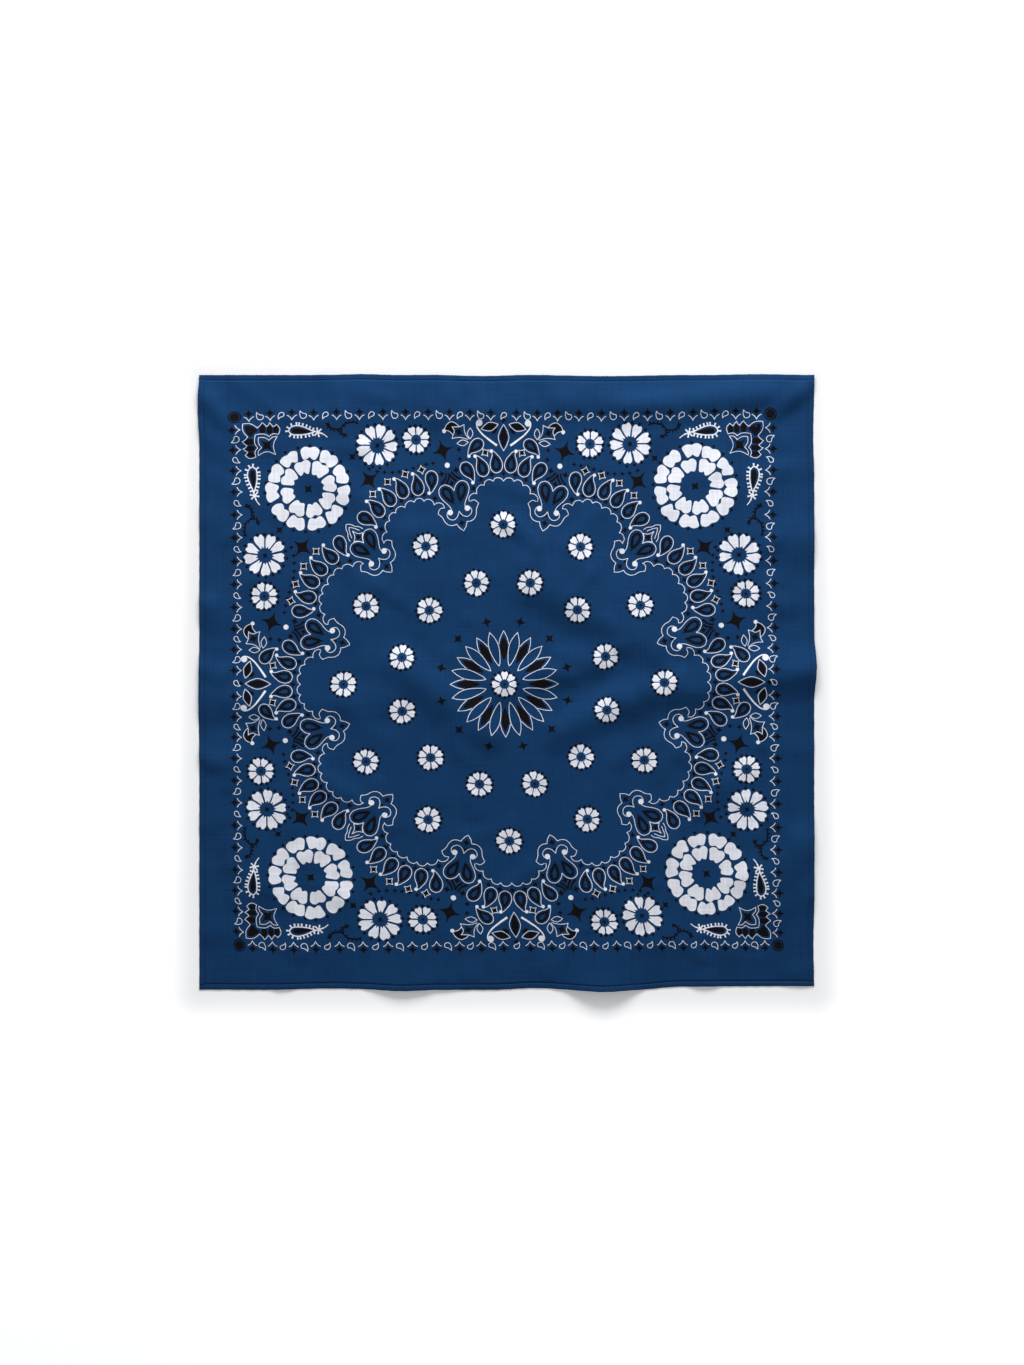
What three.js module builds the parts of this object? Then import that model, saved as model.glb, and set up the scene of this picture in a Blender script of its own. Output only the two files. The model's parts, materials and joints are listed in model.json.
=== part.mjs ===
// A square cotton bandana that lies flat: one panel of cloth with a narrow turned hem on each side.
// Millimetres, +Z up. The origin is under the middle of the cloth, on the surface that it lies on.
// +X is the right side and +Y the top side as the print is read.
import * as THREE from 'three';

// Driving dimensions
const SIDE = 559.5;             // hem edge to hem edge, a 22 inch square
const HEM_WIDTH = 4.6;          // what is turned under and sewn down on each side
const CLOTH_THICKNESS = 1.0;    // wall of the panel
const HEM_THICKNESS = 1.8;      // the turned edge has three layers
const HEM_ROUNDING = 0.6;       // how far the folded edge is rounded off
const SEAM_GAP = 0.3;           // between two pieces that are sewn together
const PANEL_CELLS = 42;         // cells of the cloth's grid along one side
const EDGE_REACH = 70;          // how far inward a bowed edge pulls the cloth with it

const HALF = SIDE / 2;
const HEM_START = HALF - HEM_WIDTH;         // inner edge of the hems
const PANEL_HALF = HEM_START - SEAM_GAP;    // outer edge of the panel

const CLOTH_COLOUR = 0x1a385f;
const HEM_COLOUR = 0x17335a;

// Where the edges leave the straight: side, place along it, reach each way, and how far out (mm)
const EDGE_BOWS = [
  { side: 'top', at: -132, reach: 34, out: 0.8 },
  { side: 'top', at: -23, reach: 45, out: -0.9 },
  { side: 'top', at: 90, reach: 75, out: -1.0 },
  { side: 'top', at: 228, reach: 50, out: 0.7 },
  { side: 'bottom', at: -262, reach: 32, out: -0.2 },
  { side: 'bottom', at: -160, reach: 60, out: -1.2 },
  { side: 'bottom', at: -95, reach: 32, out: 0.8 },
  { side: 'bottom', at: 26, reach: 40, out: -1.6 },
  { side: 'bottom', at: 88, reach: 32, out: 1.0 },
  { side: 'bottom', at: 160, reach: 45, out: -2.9 },
  { side: 'bottom', at: 205, reach: 45, out: -3.2 },
  { side: 'bottom', at: 250, reach: 45, out: -3.4 },
  { side: 'bottom', at: 295, reach: 45, out: -3.4 },
  { side: 'left', at: 250, reach: 34, out: 1.5 },
  { side: 'left', at: -16, reach: 60, out: 0.7 },
  { side: 'right', at: 225, reach: 45, out: -0.9 },
  { side: 'right', at: 14, reach: 32, out: 1.8 },
  { side: 'right', at: -240, reach: 50, out: -0.7 },
];

// Soft folds that stand up from the surface, from one end to the other: place, rise and half width (mm)
const FOLDS = [
  { name: 'bottom right ripple', from: [89, -286], to: [86, -196], rise: [8.0, 3.2], half: [42, 38] },
  { name: 'bottom right ripple tail', from: [86, -190], to: [84, -60], rise: [2.2, 0.8], half: [34, 24] },
  { name: 'bottom left ripple', from: [-97, -286], to: [-92, -196], rise: [4.6, 1.0], half: [38, 30] },
  { name: 'right edge ridge', from: [286, 12], to: [158, -2], rise: [5.4, 3.0], half: [32, 30] },
  { name: 'right edge ridge tail', from: [150, -4], to: [68, -34], rise: [2.4, 1.2], half: [28, 26] },
  { name: 'centre left ridge', from: [-96, 16], to: [-14, -48], rise: [2.6, 2.4], half: [26, 24] },
  { name: 'centre right ridge', from: [30, 84], to: [134, 26], rise: [2.2, 2.0], half: [26, 26] },
  { name: 'top right ridge', from: [104, 246], to: [258, 264], rise: [2.4, 2.8], half: [22, 24] },
  { name: 'bottom right corner ridge', from: [226, -184], to: [288, -138], rise: [2.4, 3.4], half: [26, 28] },
  { name: 'left middle fold', from: [-288, -20], to: [-108, -16], rise: [2.4, 1.4], half: [26, 24] },
];

// A smooth bump, 1 in the middle and 0 from one unit out
function bump(u) {
  return Math.abs(u) < 1 ? Math.cos(u * Math.PI / 2) ** 2 : 0;
}

function edgeBow(side, along) {
  return EDGE_BOWS
    .filter((row) => row.side === side)
    .reduce((sum, row) => sum + row.out * bump((along - row.at) / row.reach), 0);
}

// Place on the straight square, moved to where the bowed edges take it
function place(x, y) {
  const pull = (inward) => bump(Math.max(inward, 0) / EDGE_REACH);
  const right = edgeBow('right', y) * pull(HALF - x);
  const left = edgeBow('left', y) * pull(HALF + x);
  const top = edgeBow('top', x) * pull(HALF - y);
  const bottom = edgeBow('bottom', x) * pull(HALF + y);
  return [x + right - left, y + top - bottom];
}

function foldRise(fold, x, y) {
  const along = [fold.to[0] - fold.from[0], fold.to[1] - fold.from[1]];
  const lengthSquared = along[0] ** 2 + along[1] ** 2;
  const reached = ((x - fold.from[0]) * along[0] + (y - fold.from[1]) * along[1]) / lengthSquared;
  const t = THREE.MathUtils.clamp(reached, 0, 1);
  const away = Math.hypot(x - fold.from[0] - t * along[0], y - fold.from[1] - t * along[1]);
  const rise = THREE.MathUtils.lerp(fold.rise[0], fold.rise[1], t);
  return rise * bump(away / THREE.MathUtils.lerp(fold.half[0], fold.half[1], t));
}

// How high the cloth's underside stands over the surface
function lift(x, y) {
  return FOLDS.reduce((sum, fold) => sum + foldRise(fold, x, y), 0);
}

// A point of the cloth from its place on the straight square and its height in the wall
function clothPoint(x, y, height) {
  const [px, py] = place(x, y);
  return [px, py, lift(px, py) + height];
}

function closedGeometry(points, triangles) {
  const geometry = new THREE.BufferGeometry();
  geometry.setAttribute('position', new THREE.Float32BufferAttribute(points.flat(), 3));
  geometry.setIndex(triangles.flat());
  geometry.computeVertexNormals();
  return geometry;
}

// The panel: a grid on top, the same grid below, and a rim round both
function panelGeometry() {
  const across = PANEL_CELLS + 1;
  const levels = [0, CLOTH_THICKNESS];
  const points = [];
  for (const level of levels) {
    for (let row = 0; row < across; row += 1) {
      for (let column = 0; column < across; column += 1) {
        const x = THREE.MathUtils.lerp(-PANEL_HALF, PANEL_HALF, column / PANEL_CELLS);
        const y = THREE.MathUtils.lerp(-PANEL_HALF, PANEL_HALF, row / PANEL_CELLS);
        points.push(clothPoint(x, y, level));
      }
    }
  }
  const below = (row, column) => row * across + column;
  const above = (row, column) => across * across + below(row, column);
  const triangles = [];
  for (let row = 0; row < PANEL_CELLS; row += 1) {
    for (let column = 0; column < PANEL_CELLS; column += 1) {
      const corners = [[row, column], [row, column + 1], [row + 1, column + 1], [row + 1, column]];
      const [a, b, c, d] = corners.map(([r, s]) => above(r, s));
      triangles.push([a, b, c], [a, c, d]);
      const [e, f, g, h] = corners.map(([r, s]) => below(r, s));
      triangles.push([e, g, f], [e, h, g]);
    }
  }
  const last = PANEL_CELLS;
  for (let i = 0; i < last; i += 1) {
    const rim = [
      [[0, i], [0, i + 1]],
      [[i, last], [i + 1, last]],
      [[last, i + 1], [last, i]],
      [[i + 1, 0], [i, 0]],
    ];
    for (const [start, end] of rim) {
      const [a, b] = [below(...start), below(...end)];
      const [c, d] = [above(...end), above(...start)];
      triangles.push([a, b, c], [a, c, d]);
    }
  }
  return closedGeometry(points, triangles);
}

// Section of a hem: how far out from its inner edge, and how high
const HEM_SECTION = [
  [0, 0],
  [HEM_WIDTH - HEM_ROUNDING, 0],
  [HEM_WIDTH, HEM_THICKNESS / 3],
  [HEM_WIDTH, HEM_THICKNESS * 2 / 3],
  [HEM_WIDTH - HEM_ROUNDING, HEM_THICKNESS],
  [0, HEM_THICKNESS],
];

// A hem runs from one end to the other, and toSquare says where its section's points go
function hemGeometry(stations, toSquare) {
  const around = HEM_SECTION.length;
  const points = stations.flatMap((along) => HEM_SECTION.map(([out, height]) => {
    const [x, y] = toSquare(along, HEM_START + out);
    return clothPoint(x, y, height);
  }));
  const triangles = [];
  for (let i = 0; i + 1 < stations.length; i += 1) {
    for (let k = 0; k < around; k += 1) {
      const next = (k + 1) % around;
      const [a, b] = [i * around + k, i * around + next];
      const [c, d] = [b + around, a + around];
      triangles.push([a, c, b], [a, d, c]);
    }
  }
  const end = (stations.length - 1) * around;
  for (let k = 1; k + 1 < around; k += 1) {
    triangles.push([0, k, k + 1], [end, end + k + 1, end + k]);
  }
  return closedGeometry(points, triangles);
}

// Stations of a hem are the panel's own grid lines, so that the seam keeps its gap
function hemStations(lowEnd, highEnd) {
  const inner = Array.from({ length: PANEL_CELLS - 1 }, (_, i) => (
    THREE.MathUtils.lerp(-PANEL_HALF, PANEL_HALF, (i + 1) / PANEL_CELLS)));
  return [lowEnd, ...inner, highEnd];
}

// Each side: how a place along it and a distance out become a place on the straight square. The
// long hems take the corners, and the two others stop a seam's gap short of them.
const HEMS = [
  { name: 'hem_top', reach: HALF, toSquare: (along, out) => [-along, out] },
  { name: 'hem_bottom', reach: HALF, toSquare: (along, out) => [along, -out] },
  { name: 'hem_left', reach: PANEL_HALF, toSquare: (along, out) => [-out, -along] },
  { name: 'hem_right', reach: PANEL_HALF, toSquare: (along, out) => [out, along] },
];

function clothMesh(name, geometry, colour) {
  const material = new THREE.MeshStandardMaterial({ color: colour, roughness: 0.88, metalness: 0 });
  const mesh = new THREE.Mesh(geometry, material);
  mesh.name = name;
  return mesh;
}

const bandana = new THREE.Group();
bandana.add(clothMesh('cloth_panel', panelGeometry(), CLOTH_COLOUR));
for (const hem of HEMS) {
  const geometry = hemGeometry(hemStations(-hem.reach, hem.reach), hem.toSquare);
  bandana.add(clothMesh(hem.name, geometry, HEM_COLOUR));
}

// The bowed edges make the outline a little lopsided, so the origin is set under its true middle
bandana.updateMatrixWorld(true);
const outline = new THREE.Box3().setFromObject(bandana, true);
const middle = outline.getCenter(new THREE.Vector3());
bandana.position.set(-middle.x, -middle.y, -outline.min.z);
bandana.updateMatrixWorld(true);

export default bandana;
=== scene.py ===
# %% [markdown]
# A square bandana of printed cotton, laid flat.
# The real thing is one square of thin plain-weave cotton, dyed navy, printed with a white and a black
# ink, and hemmed on its four sides. The CAD frame holds its outline and its largest folds. This script
# gives it a thin cloth, stitched hems and the print, all in metres in the same frame.

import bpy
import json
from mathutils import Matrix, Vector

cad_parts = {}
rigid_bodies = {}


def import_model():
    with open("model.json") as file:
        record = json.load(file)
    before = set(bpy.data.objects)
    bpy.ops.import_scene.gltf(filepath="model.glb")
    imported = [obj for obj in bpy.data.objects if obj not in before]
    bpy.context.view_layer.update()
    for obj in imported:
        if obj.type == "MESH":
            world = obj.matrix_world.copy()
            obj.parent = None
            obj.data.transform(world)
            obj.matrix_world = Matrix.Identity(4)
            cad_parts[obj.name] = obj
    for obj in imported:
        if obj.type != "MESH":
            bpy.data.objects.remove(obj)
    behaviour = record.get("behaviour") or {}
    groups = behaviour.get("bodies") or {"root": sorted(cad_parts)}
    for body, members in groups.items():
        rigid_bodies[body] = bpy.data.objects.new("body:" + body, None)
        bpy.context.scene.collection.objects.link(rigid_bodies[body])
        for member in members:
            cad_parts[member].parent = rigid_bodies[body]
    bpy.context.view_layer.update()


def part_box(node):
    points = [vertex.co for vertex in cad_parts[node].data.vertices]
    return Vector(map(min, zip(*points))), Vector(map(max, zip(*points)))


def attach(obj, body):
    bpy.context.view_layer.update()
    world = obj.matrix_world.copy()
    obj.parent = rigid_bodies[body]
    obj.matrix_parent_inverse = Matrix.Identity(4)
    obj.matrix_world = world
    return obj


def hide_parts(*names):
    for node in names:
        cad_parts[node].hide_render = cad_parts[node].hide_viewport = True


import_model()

import json
import math

import bpy
import numpy as np
from mathutils import Vector
from mathutils.geometry import delaunay_2d_cdt

MM = 0.001

# %% [markdown]
# The cloth's own form.
# A bandana has no pattern pieces to fit: its form is a square whose edges bow a little and whose cloth
# stands up in a few soft folds. The CAD source works it out from these same tables, so they are
# repeated here, and the thin cloth lies exactly where its solid is.

# %% Sizes of the cloth, in millimetres
SIDE = 559.5             # hem edge to hem edge, a 22 inch square
HEM_WIDTH = 4.6          # what is turned under and sewn down on each side
EDGE_REACH = 70.0        # how far inward a bowed edge pulls the cloth with it
CAD_CELLS = 42           # cells of the CAD cloth's grid along one side
CAD_SEAM = 0.3
HALF = SIDE / 2
HEM_START = HALF - HEM_WIDTH

# Where the edges leave the straight: side, place along it, reach each way, and how far out
EDGE_BOWS = [
    ("top", -132, 34, 0.8),
    ("top", -23, 45, -0.9),
    ("top", 90, 75, -1.0),
    ("top", 228, 50, 0.7),
    ("bottom", -262, 32, -0.2),
    ("bottom", -160, 60, -1.2),
    ("bottom", -95, 32, 0.8),
    ("bottom", 26, 40, -1.6),
    ("bottom", 88, 32, 1.0),
    ("bottom", 160, 45, -2.9),
    ("bottom", 205, 45, -3.2),
    ("bottom", 250, 45, -3.4),
    ("bottom", 295, 45, -3.4),
    ("left", 250, 34, 1.5),
    ("left", -16, 60, 0.7),
    ("right", 225, 45, -0.9),
    ("right", 14, 32, 1.8),
    ("right", -240, 50, -0.7),
]

# The soft folds of the CAD form: from, to, rise at each end, and half width at each end
FOLDS = [
    ((89, -286), (86, -196), (8.0, 3.2), (42, 38)),
    ((86, -190), (84, -60), (2.2, 0.8), (34, 24)),
    ((-97, -286), (-92, -196), (4.6, 1.0), (38, 30)),
    ((286, 12), (158, -2), (5.4, 3.0), (32, 30)),
    ((150, -4), (68, -34), (2.4, 1.2), (28, 26)),
    ((-96, 16), (-14, -48), (2.6, 2.4), (26, 24)),
    ((30, 84), (134, 26), (2.2, 2.0), (26, 26)),
    ((104, 246), (258, 264), (2.4, 2.8), (22, 24)),
    ((226, -184), (288, -138), (2.4, 3.4), (26, 28)),
    ((-288, -20), (-108, -16), (2.4, 1.4), (26, 24)),
]

# Finer creases of the thin cloth, which the thick CAD wall leaves out, in the same columns
CREASES = [
    # Across the middle
    ((24, 98), (152, 32), (3.3, 2.7), (41, 38)),
    ((42, 116), (172, 60), (1.9, 1.2), (38, 34)),
    ((50, 174), (20, 108), (1.3, 1.0), (17, 17)),
    ((46, -48), (122, -8), (2.4, 2.6), (25, 25)),
    ((132, -2), (284, 20), (0.9, 0.5), (38, 42)),
    ((-2, -4), (80, 24), (3.4, 2.6), (26, 24)),
    ((-110, 16), (-30, -40), (1.4, 1.0), (32, 30)),
    ((-172, 192), (-112, 152), (1.7, 1.5), (24, 20)),
    ((-108, 136), (-46, 138), (1.1, 0.8), (18, 18)),
    ((-140, 98), (-74, 64), (0.9, 0.7), (16, 14)),
    ((-176, -84), (-110, -132), (0.7, 0.5), (20, 18)),
    # Along the top edge and in its corners
    ((-150, 252), (50, 252), (1.6, 1.9), (38, 36)),
    ((56, 256), (236, 262), (2.2, 1.6), (22, 20)),
    ((234, 236), (282, 276), (1.7, 1.9), (13, 13)),
    ((-286, 272), (-238, 222), (1.9, 1.3), (14, 13)),
    ((-286, 234), (-252, 202), (1.4, 0.6), (14, 13)),
    ((-168, 284), (-140, 216), (1.4, 0.7), (17, 14)),
    ((-60, 280), (-28, 196), (0.9, 0.3), (15, 12)),
    ((14, 280), (6, 214), (0.8, 0.3), (13, 11)),
    # Along the left edge
    ((-286, 150), (-224, 136), (0.9, 0.3), (18, 14)),
    ((-286, 68), (-238, 60), (2.2, 0.6), (26, 20)),
    ((-166, 76), (-160, 4), (0.9, 0.8), (17, 16)),
    ((-286, 6), (-230, -8), (1.5, 0.9), (30, 28)),
    ((-286, -66), (-234, -78), (0.9, 0.4), (18, 16)),
    ((-286, -132), (-228, -118), (0.9, 0.3), (16, 14)),
    # Along the right edge
    ((288, 128), (228, 130), (3.5, 1.1), (34, 26)),
    ((288, 196), (232, 190), (0.9, 0.4), (16, 14)),
    ((290, 62), (226, 74), (1.0, 0.5), (18, 16)),
    ((288, -62), (218, -56), (1.1, 0.5), (18, 16)),
    ((292, -170), (240, -206), (2.4, 1.4), (29, 27)),
    # Along the bottom edge
    ((90, -300), (88, -262), (3.1, 0.2), (42, 34)),
    ((-98, -300), (-96, -240), (-1.2, -0.3), (30, 26)),
    ((-64, -300), (-60, -236), (1.5, 0.3), (38, 28)),
    ((60, -300), (64, -252), (1.5, 0.3), (30, 24)),
    ((-204, -280), (-190, -214), (1.0, 0.3), (15, 12)),
    ((-14, -256), (-10, -206), (0.9, 0.3), (16, 13)),
    ((184, -280), (170, -212), (1.2, 0.4), (16, 13)),
]


# Faint creases all over, as cloth keeps them after folding, placed from a fixed seed
SMALL_CREASES = 170
rng = np.random.default_rng(7)
for _ in range(SMALL_CREASES):
    start = rng.uniform(-HALF, HALF, 2)
    way = rng.uniform(0, 2 * np.pi)
    end = start + rng.uniform(12, 60) * np.array([np.cos(way), np.sin(way)])
    CREASES.append((start, end, rng.uniform(0.4, 1.1, 2), rng.uniform(10, 20, 2)))


def bump(u):
    """A smooth bump, 1 in the middle and 0 from one unit out."""
    return np.cos(np.clip(np.abs(u), 0, 1) * np.pi / 2) ** 2


def edge_bow(side, along):
    return sum(out * bump((along - at) / reach) for name, at, reach, out in EDGE_BOWS if name == side)


def fold_rise(fold, x, y):
    start, end, rise, half = [np.array(column, float) for column in fold]
    along = end - start
    t = np.clip(((x - start[0]) * along[0] + (y - start[1]) * along[1]) / (along @ along), 0, 1)
    away = np.hypot(x - start[0] - t * along[0], y - start[1] - t * along[1])
    return (rise[0] + t * (rise[1] - rise[0])) * bump(away / (half[0] + t * (half[1] - half[0])))


def lift(x, y):
    """How high the cloth's underside stands over the surface that it lies on."""
    return sum(fold_rise(fold, x, y) for fold in FOLDS + CREASES)


def place(x, y):
    """A place on the straight square, moved to where the bowed edges take it."""
    def pull(inward):
        return bump(np.maximum(inward, 0) / EDGE_REACH)
    across = edge_bow("right", y) * pull(HALF - x) - edge_bow("left", y) * pull(HALF + x)
    up = edge_bow("top", x) * pull(HALF - y) - edge_bow("bottom", x) * pull(HALF + y)
    return x + across, y + up


# The CAD model puts its origin under the middle of the outline, so the same shift is made here
stations = np.linspace(-(HEM_START - CAD_SEAM), HEM_START - CAD_SEAM, CAD_CELLS + 1)[1:-1]
stations = np.concatenate([[-HALF], stations, [HALF]])
right_edge = place(np.full_like(stations[1:-1], HALF), stations[1:-1])[0].max()
top_edge = place(stations, np.full_like(stations, HALF))[1].max()
SHIFT = (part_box("hem_right")[1][0] / MM - right_edge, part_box("hem_top")[1][1] / MM - top_edge)


def cloth_point(x, y, height):
    """A point of the cloth in metres, from its place on the straight square and a height in mm."""
    px, py = place(x, y)
    return np.stack([px + SHIFT[0], py + SHIFT[1], lift(x, y) + height], axis=-1) * MM


print("the CAD origin is shifted by", [round(float(value), 3) for value in SHIFT], "mm")

# %% [markdown]
# Making a mesh and giving it a baking map.
# Each piece below is a grid or a strip of points, so one helper turns arrays of points and faces into
# an object at the origin. The map named OFBake is the cloth seen from above, with the underside in a
# small corner of its own, so that a baked picture gives its room to what shows.

# %% Helpers for meshes
BAKE_SHARE = 0.93        # of the map's side that the upper faces take


def piece(name, points, faces, material=None):
    mesh = bpy.data.meshes.new(name)
    mesh.from_pydata(np.asarray(points).reshape(-1, 3).tolist(), [], faces)
    mesh.shade_smooth()
    mesh.update()
    obj = bpy.data.objects.new(name, mesh)
    bpy.context.scene.collection.objects.link(obj)
    if material:
        mesh.materials.append(material)
    return obj


def map_from_above(obj):
    """Lays the faces out as they are seen from above, the downward ones small in the corner."""
    mesh = obj.data
    points = np.empty(len(mesh.vertices) * 3)
    mesh.vertices.foreach_get("co", points)
    points = points.reshape(-1, 3)[:, :2]
    low = points.min(axis=0)
    share = (points - low) / (points.max(axis=0) - low)
    corners = np.empty(len(mesh.loops), dtype=int)
    mesh.loops.foreach_get("vertex_index", corners)
    normals = np.empty(len(mesh.polygons) * 3)
    mesh.polygons.foreach_get("normal", normals)
    totals = np.empty(len(mesh.polygons), dtype=int)
    mesh.polygons.foreach_get("loop_total", totals)
    upward = np.repeat(normals.reshape(-1, 3)[:, 2] > -0.2, totals)[:, None]
    rest = 1 - BAKE_SHARE
    uv = np.where(upward, share[corners] * BAKE_SHARE, 1 - rest * (0.95 - 0.9 * share[corners]))
    layer = mesh.uv_layers.new(name="OFBake")
    layer.data.foreach_set("uv", uv.ravel())


def triangles(obj):
    return sum(len(face.vertices) - 2 for face in obj.data.polygons)


# %% [markdown]
# The finishes.
# Every finish here is cotton, thread or ink on cotton, so all of them are matt and follow the same
# weave. A photograph of a texture would do, but a weave built from two crossing waves stays sharp from
# any distance and needs no file. Colours are written as they look on a screen and turned linear once.

# %% Adding nodes, and turning colours linear
def linear(hex_colour):
    channels = [int(hex_colour[i:i + 2], 16) / 255 for i in (1, 3, 5)]
    return tuple(c / 12.92 if c <= 0.04045 else ((c + 0.055) / 1.055) ** 2.4 for c in channels) + (1.0,)


def add(tree, kind, links=None, **settings):
    """Adds one node. links gives its inputs, by name or number: a value, or another node's output."""
    node = tree.nodes.new(kind)
    for name, value in settings.items():
        setattr(node, name, value)
    for key, value in (links or {}).items():
        if isinstance(value, bpy.types.NodeSocket):
            tree.links.new(value, node.inputs[key])
        else:
            node.inputs[key].default_value = value
    return node


def new_material(name):
    """A material with an empty tree, and the Object coordinates that its patterns follow."""
    material = bpy.data.materials.new(name)
    material.use_nodes = True
    material.node_tree.nodes.clear()
    place_on_object = add(material.node_tree, "ShaderNodeTexCoord").outputs["Object"]
    return material, material.node_tree, place_on_object


def finish(tree, surface):
    add(tree, "ShaderNodeOutputMaterial", {"Surface": surface})


def wave_scale(pitch):
    """The Wave Texture's scale for one thread every pitch mm: its own period is 2 pi over 20."""
    return 2 * math.pi / 20 / (pitch * MM)


# %% [markdown]
# Plain weave.
# Real threads here are about 0.35 mm apart, far finer than a pixel of the photograph, so the weave is
# drawn at 1.7 mm, the finest that the render can hold. One thread goes over and under the next, which
# is the product of a wave across and a wave along. Now and then a thread is thicker, a slub, and the
# dye takes a little unevenly. These are long thin noises along both threads and one broad noise.

# %% The weave that every finish shares
THREAD_PITCH = 1.7
SLUB_WIDTH = 2.6
SLUB_LENGTH = 46.0
PATCH_WIDTH = 55.0


def weave(tree, coordinates):
    """The height of the crossing threads, and the slubs, both from 0 to 1."""
    across = add(tree, "ShaderNodeTexWave", {"Vector": coordinates, "Scale": wave_scale(THREAD_PITCH)},
                 bands_direction="X", wave_profile="SIN")
    along = add(tree, "ShaderNodeTexWave", {"Vector": coordinates, "Scale": wave_scale(THREAD_PITCH)},
                bands_direction="Y", wave_profile="SIN")
    over = add(tree, "ShaderNodeMath", {0: across.outputs["Fac"], 1: 2.0, 2: -1.0},
               operation="MULTIPLY_ADD")
    under = add(tree, "ShaderNodeMath", {0: along.outputs["Fac"], 1: 0.5, 2: -0.25},
                operation="MULTIPLY_ADD")
    crossing = add(tree, "ShaderNodeMath", {0: over.outputs[0], 1: under.outputs[0], 2: 0.5},
                   operation="MULTIPLY_ADD")
    slubs = []
    for wide, long in ((SLUB_WIDTH, SLUB_LENGTH), (SLUB_LENGTH, SLUB_WIDTH)):
        stretched = add(tree, "ShaderNodeMapping",
                        {"Vector": coordinates, "Scale": (1 / (wide * MM), 1 / (long * MM), 1.0)})
        slubs.append(add(tree, "ShaderNodeTexNoise", {"Vector": stretched.outputs[0], "Scale": 1.0,
                                                      "Detail": 2.0, "Roughness": 0.6}))
    mean = add(tree, "ShaderNodeMath", {0: slubs[0].outputs["Fac"], 1: slubs[1].outputs["Fac"]},
               operation="ADD")
    slub = add(tree, "ShaderNodeMapRange", {"Value": mean.outputs[0], "From Min": 0.7, "From Max": 1.3})
    return crossing.outputs[0], slub.outputs["Result"]


def weave_bump(tree, crossing, slub, depth):
    threads = add(tree, "ShaderNodeBump", {"Height": crossing, "Strength": 0.35, "Distance": depth * MM})
    return add(tree, "ShaderNodeBump", {"Height": slub, "Strength": 0.3, "Distance": depth * MM,
                                        "Normal": threads.outputs[0]}).outputs[0]


# %% Dyed cotton
def dyed_cotton(name, deep, light, depth=0.25):
    """Plain-weave cotton, dyed in the piece: quite matt, with the faint sheen of its fibres."""
    material, tree, coordinates = new_material(name)
    crossing, slub = weave(tree, coordinates)
    patches = add(tree, "ShaderNodeTexNoise", {"Vector": coordinates, "Scale": 1 / (PATCH_WIDTH * MM),
                                               "Detail": 3.0})
    broad = add(tree, "ShaderNodeMath", {0: patches.outputs["Fac"], 1: 0.6, 2: -0.05},
                operation="MULTIPLY_ADD")
    uneven = add(tree, "ShaderNodeMath", {0: slub, 1: 0.35, 2: broad.outputs[0]}, operation="MULTIPLY_ADD")
    tone = add(tree, "ShaderNodeMath", {0: crossing, 1: 0.2, 2: uneven.outputs[0]},
               operation="MULTIPLY_ADD")
    colour = add(tree, "ShaderNodeMix", {"Factor": tone.outputs[0]}, data_type="RGBA")
    colour.inputs["A"].default_value = linear(deep)
    colour.inputs["B"].default_value = linear(light)
    cloth = add(tree, "ShaderNodeBsdfPrincipled", {
        "Base Color": colour.outputs["Result"],
        "Roughness": 0.88,
        "Specular IOR Level": 0.12,
        "Sheen Weight": 0.03,
        "Sheen Roughness": 0.4,
        "Normal": weave_bump(tree, crossing, slub, depth),
    })
    finish(tree, cloth.outputs[0])
    return material


# %% Pigment ink printed on cotton
def printed_ink(name, thin, full, roughness):
    """Pigment ink that lies on the threads: a little thinner where they dip between each other."""
    material, tree, coordinates = new_material(name)
    crossing, slub = weave(tree, coordinates)
    cover = add(tree, "ShaderNodeMath", {0: crossing, 1: 0.12, 2: slub}, operation="MULTIPLY_ADD")
    colour = add(tree, "ShaderNodeMix", {"Factor": cover.outputs[0]}, data_type="RGBA")
    colour.inputs["A"].default_value = linear(thin)
    colour.inputs["B"].default_value = linear(full)
    ink = add(tree, "ShaderNodeBsdfPrincipled", {
        "Base Color": colour.outputs["Result"],
        "Roughness": roughness,
        "Specular IOR Level": 0.12,
        "Normal": weave_bump(tree, crossing, slub, 0.05),
    })
    finish(tree, ink.outputs[0])
    return material


# %% Twisted cotton thread
def sewing_thread(name, deep, light):
    """Mercerised cotton thread: its twist shows as fine light and dark along each stitch."""
    material, tree, coordinates = new_material(name)
    twist = add(tree, "ShaderNodeTexNoise", {"Vector": coordinates, "Scale": 1 / (0.9 * MM), "Detail": 1.0})
    colour = add(tree, "ShaderNodeMix", {"Factor": twist.outputs["Fac"]}, data_type="RGBA")
    colour.inputs["A"].default_value = linear(deep)
    colour.inputs["B"].default_value = linear(light)
    thread = add(tree, "ShaderNodeBsdfPrincipled", {
        "Base Color": colour.outputs["Result"],
        "Roughness": 0.55,
        "Sheen Weight": 0.1,
        "Normal": add(tree, "ShaderNodeBump", {"Height": twist.outputs["Fac"], "Strength": 0.4,
                                               "Distance": 0.1 * MM}).outputs[0],
    })
    finish(tree, thread.outputs[0])
    return material


panel_cotton = dyed_cotton("navy plain weave cotton, piece dyed", "#092e56", "#103f6c")
hem_cotton = dyed_cotton("navy plain weave cotton, turned and pressed", "#092c54", "#103d69", depth=0.3)
white_ink = printed_ink("white pigment ink, screen printed", "#d9dce6", "#eff1f8", 0.8)
black_ink = printed_ink("black pigment ink, screen printed", "#060509", "#0e0a0c", 0.85)
navy_thread = sewing_thread("navy sewing thread, mercerised cotton", "#081a34", "#12305a")
print("finishes:", [material.name for material in bpy.data.materials])

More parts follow.
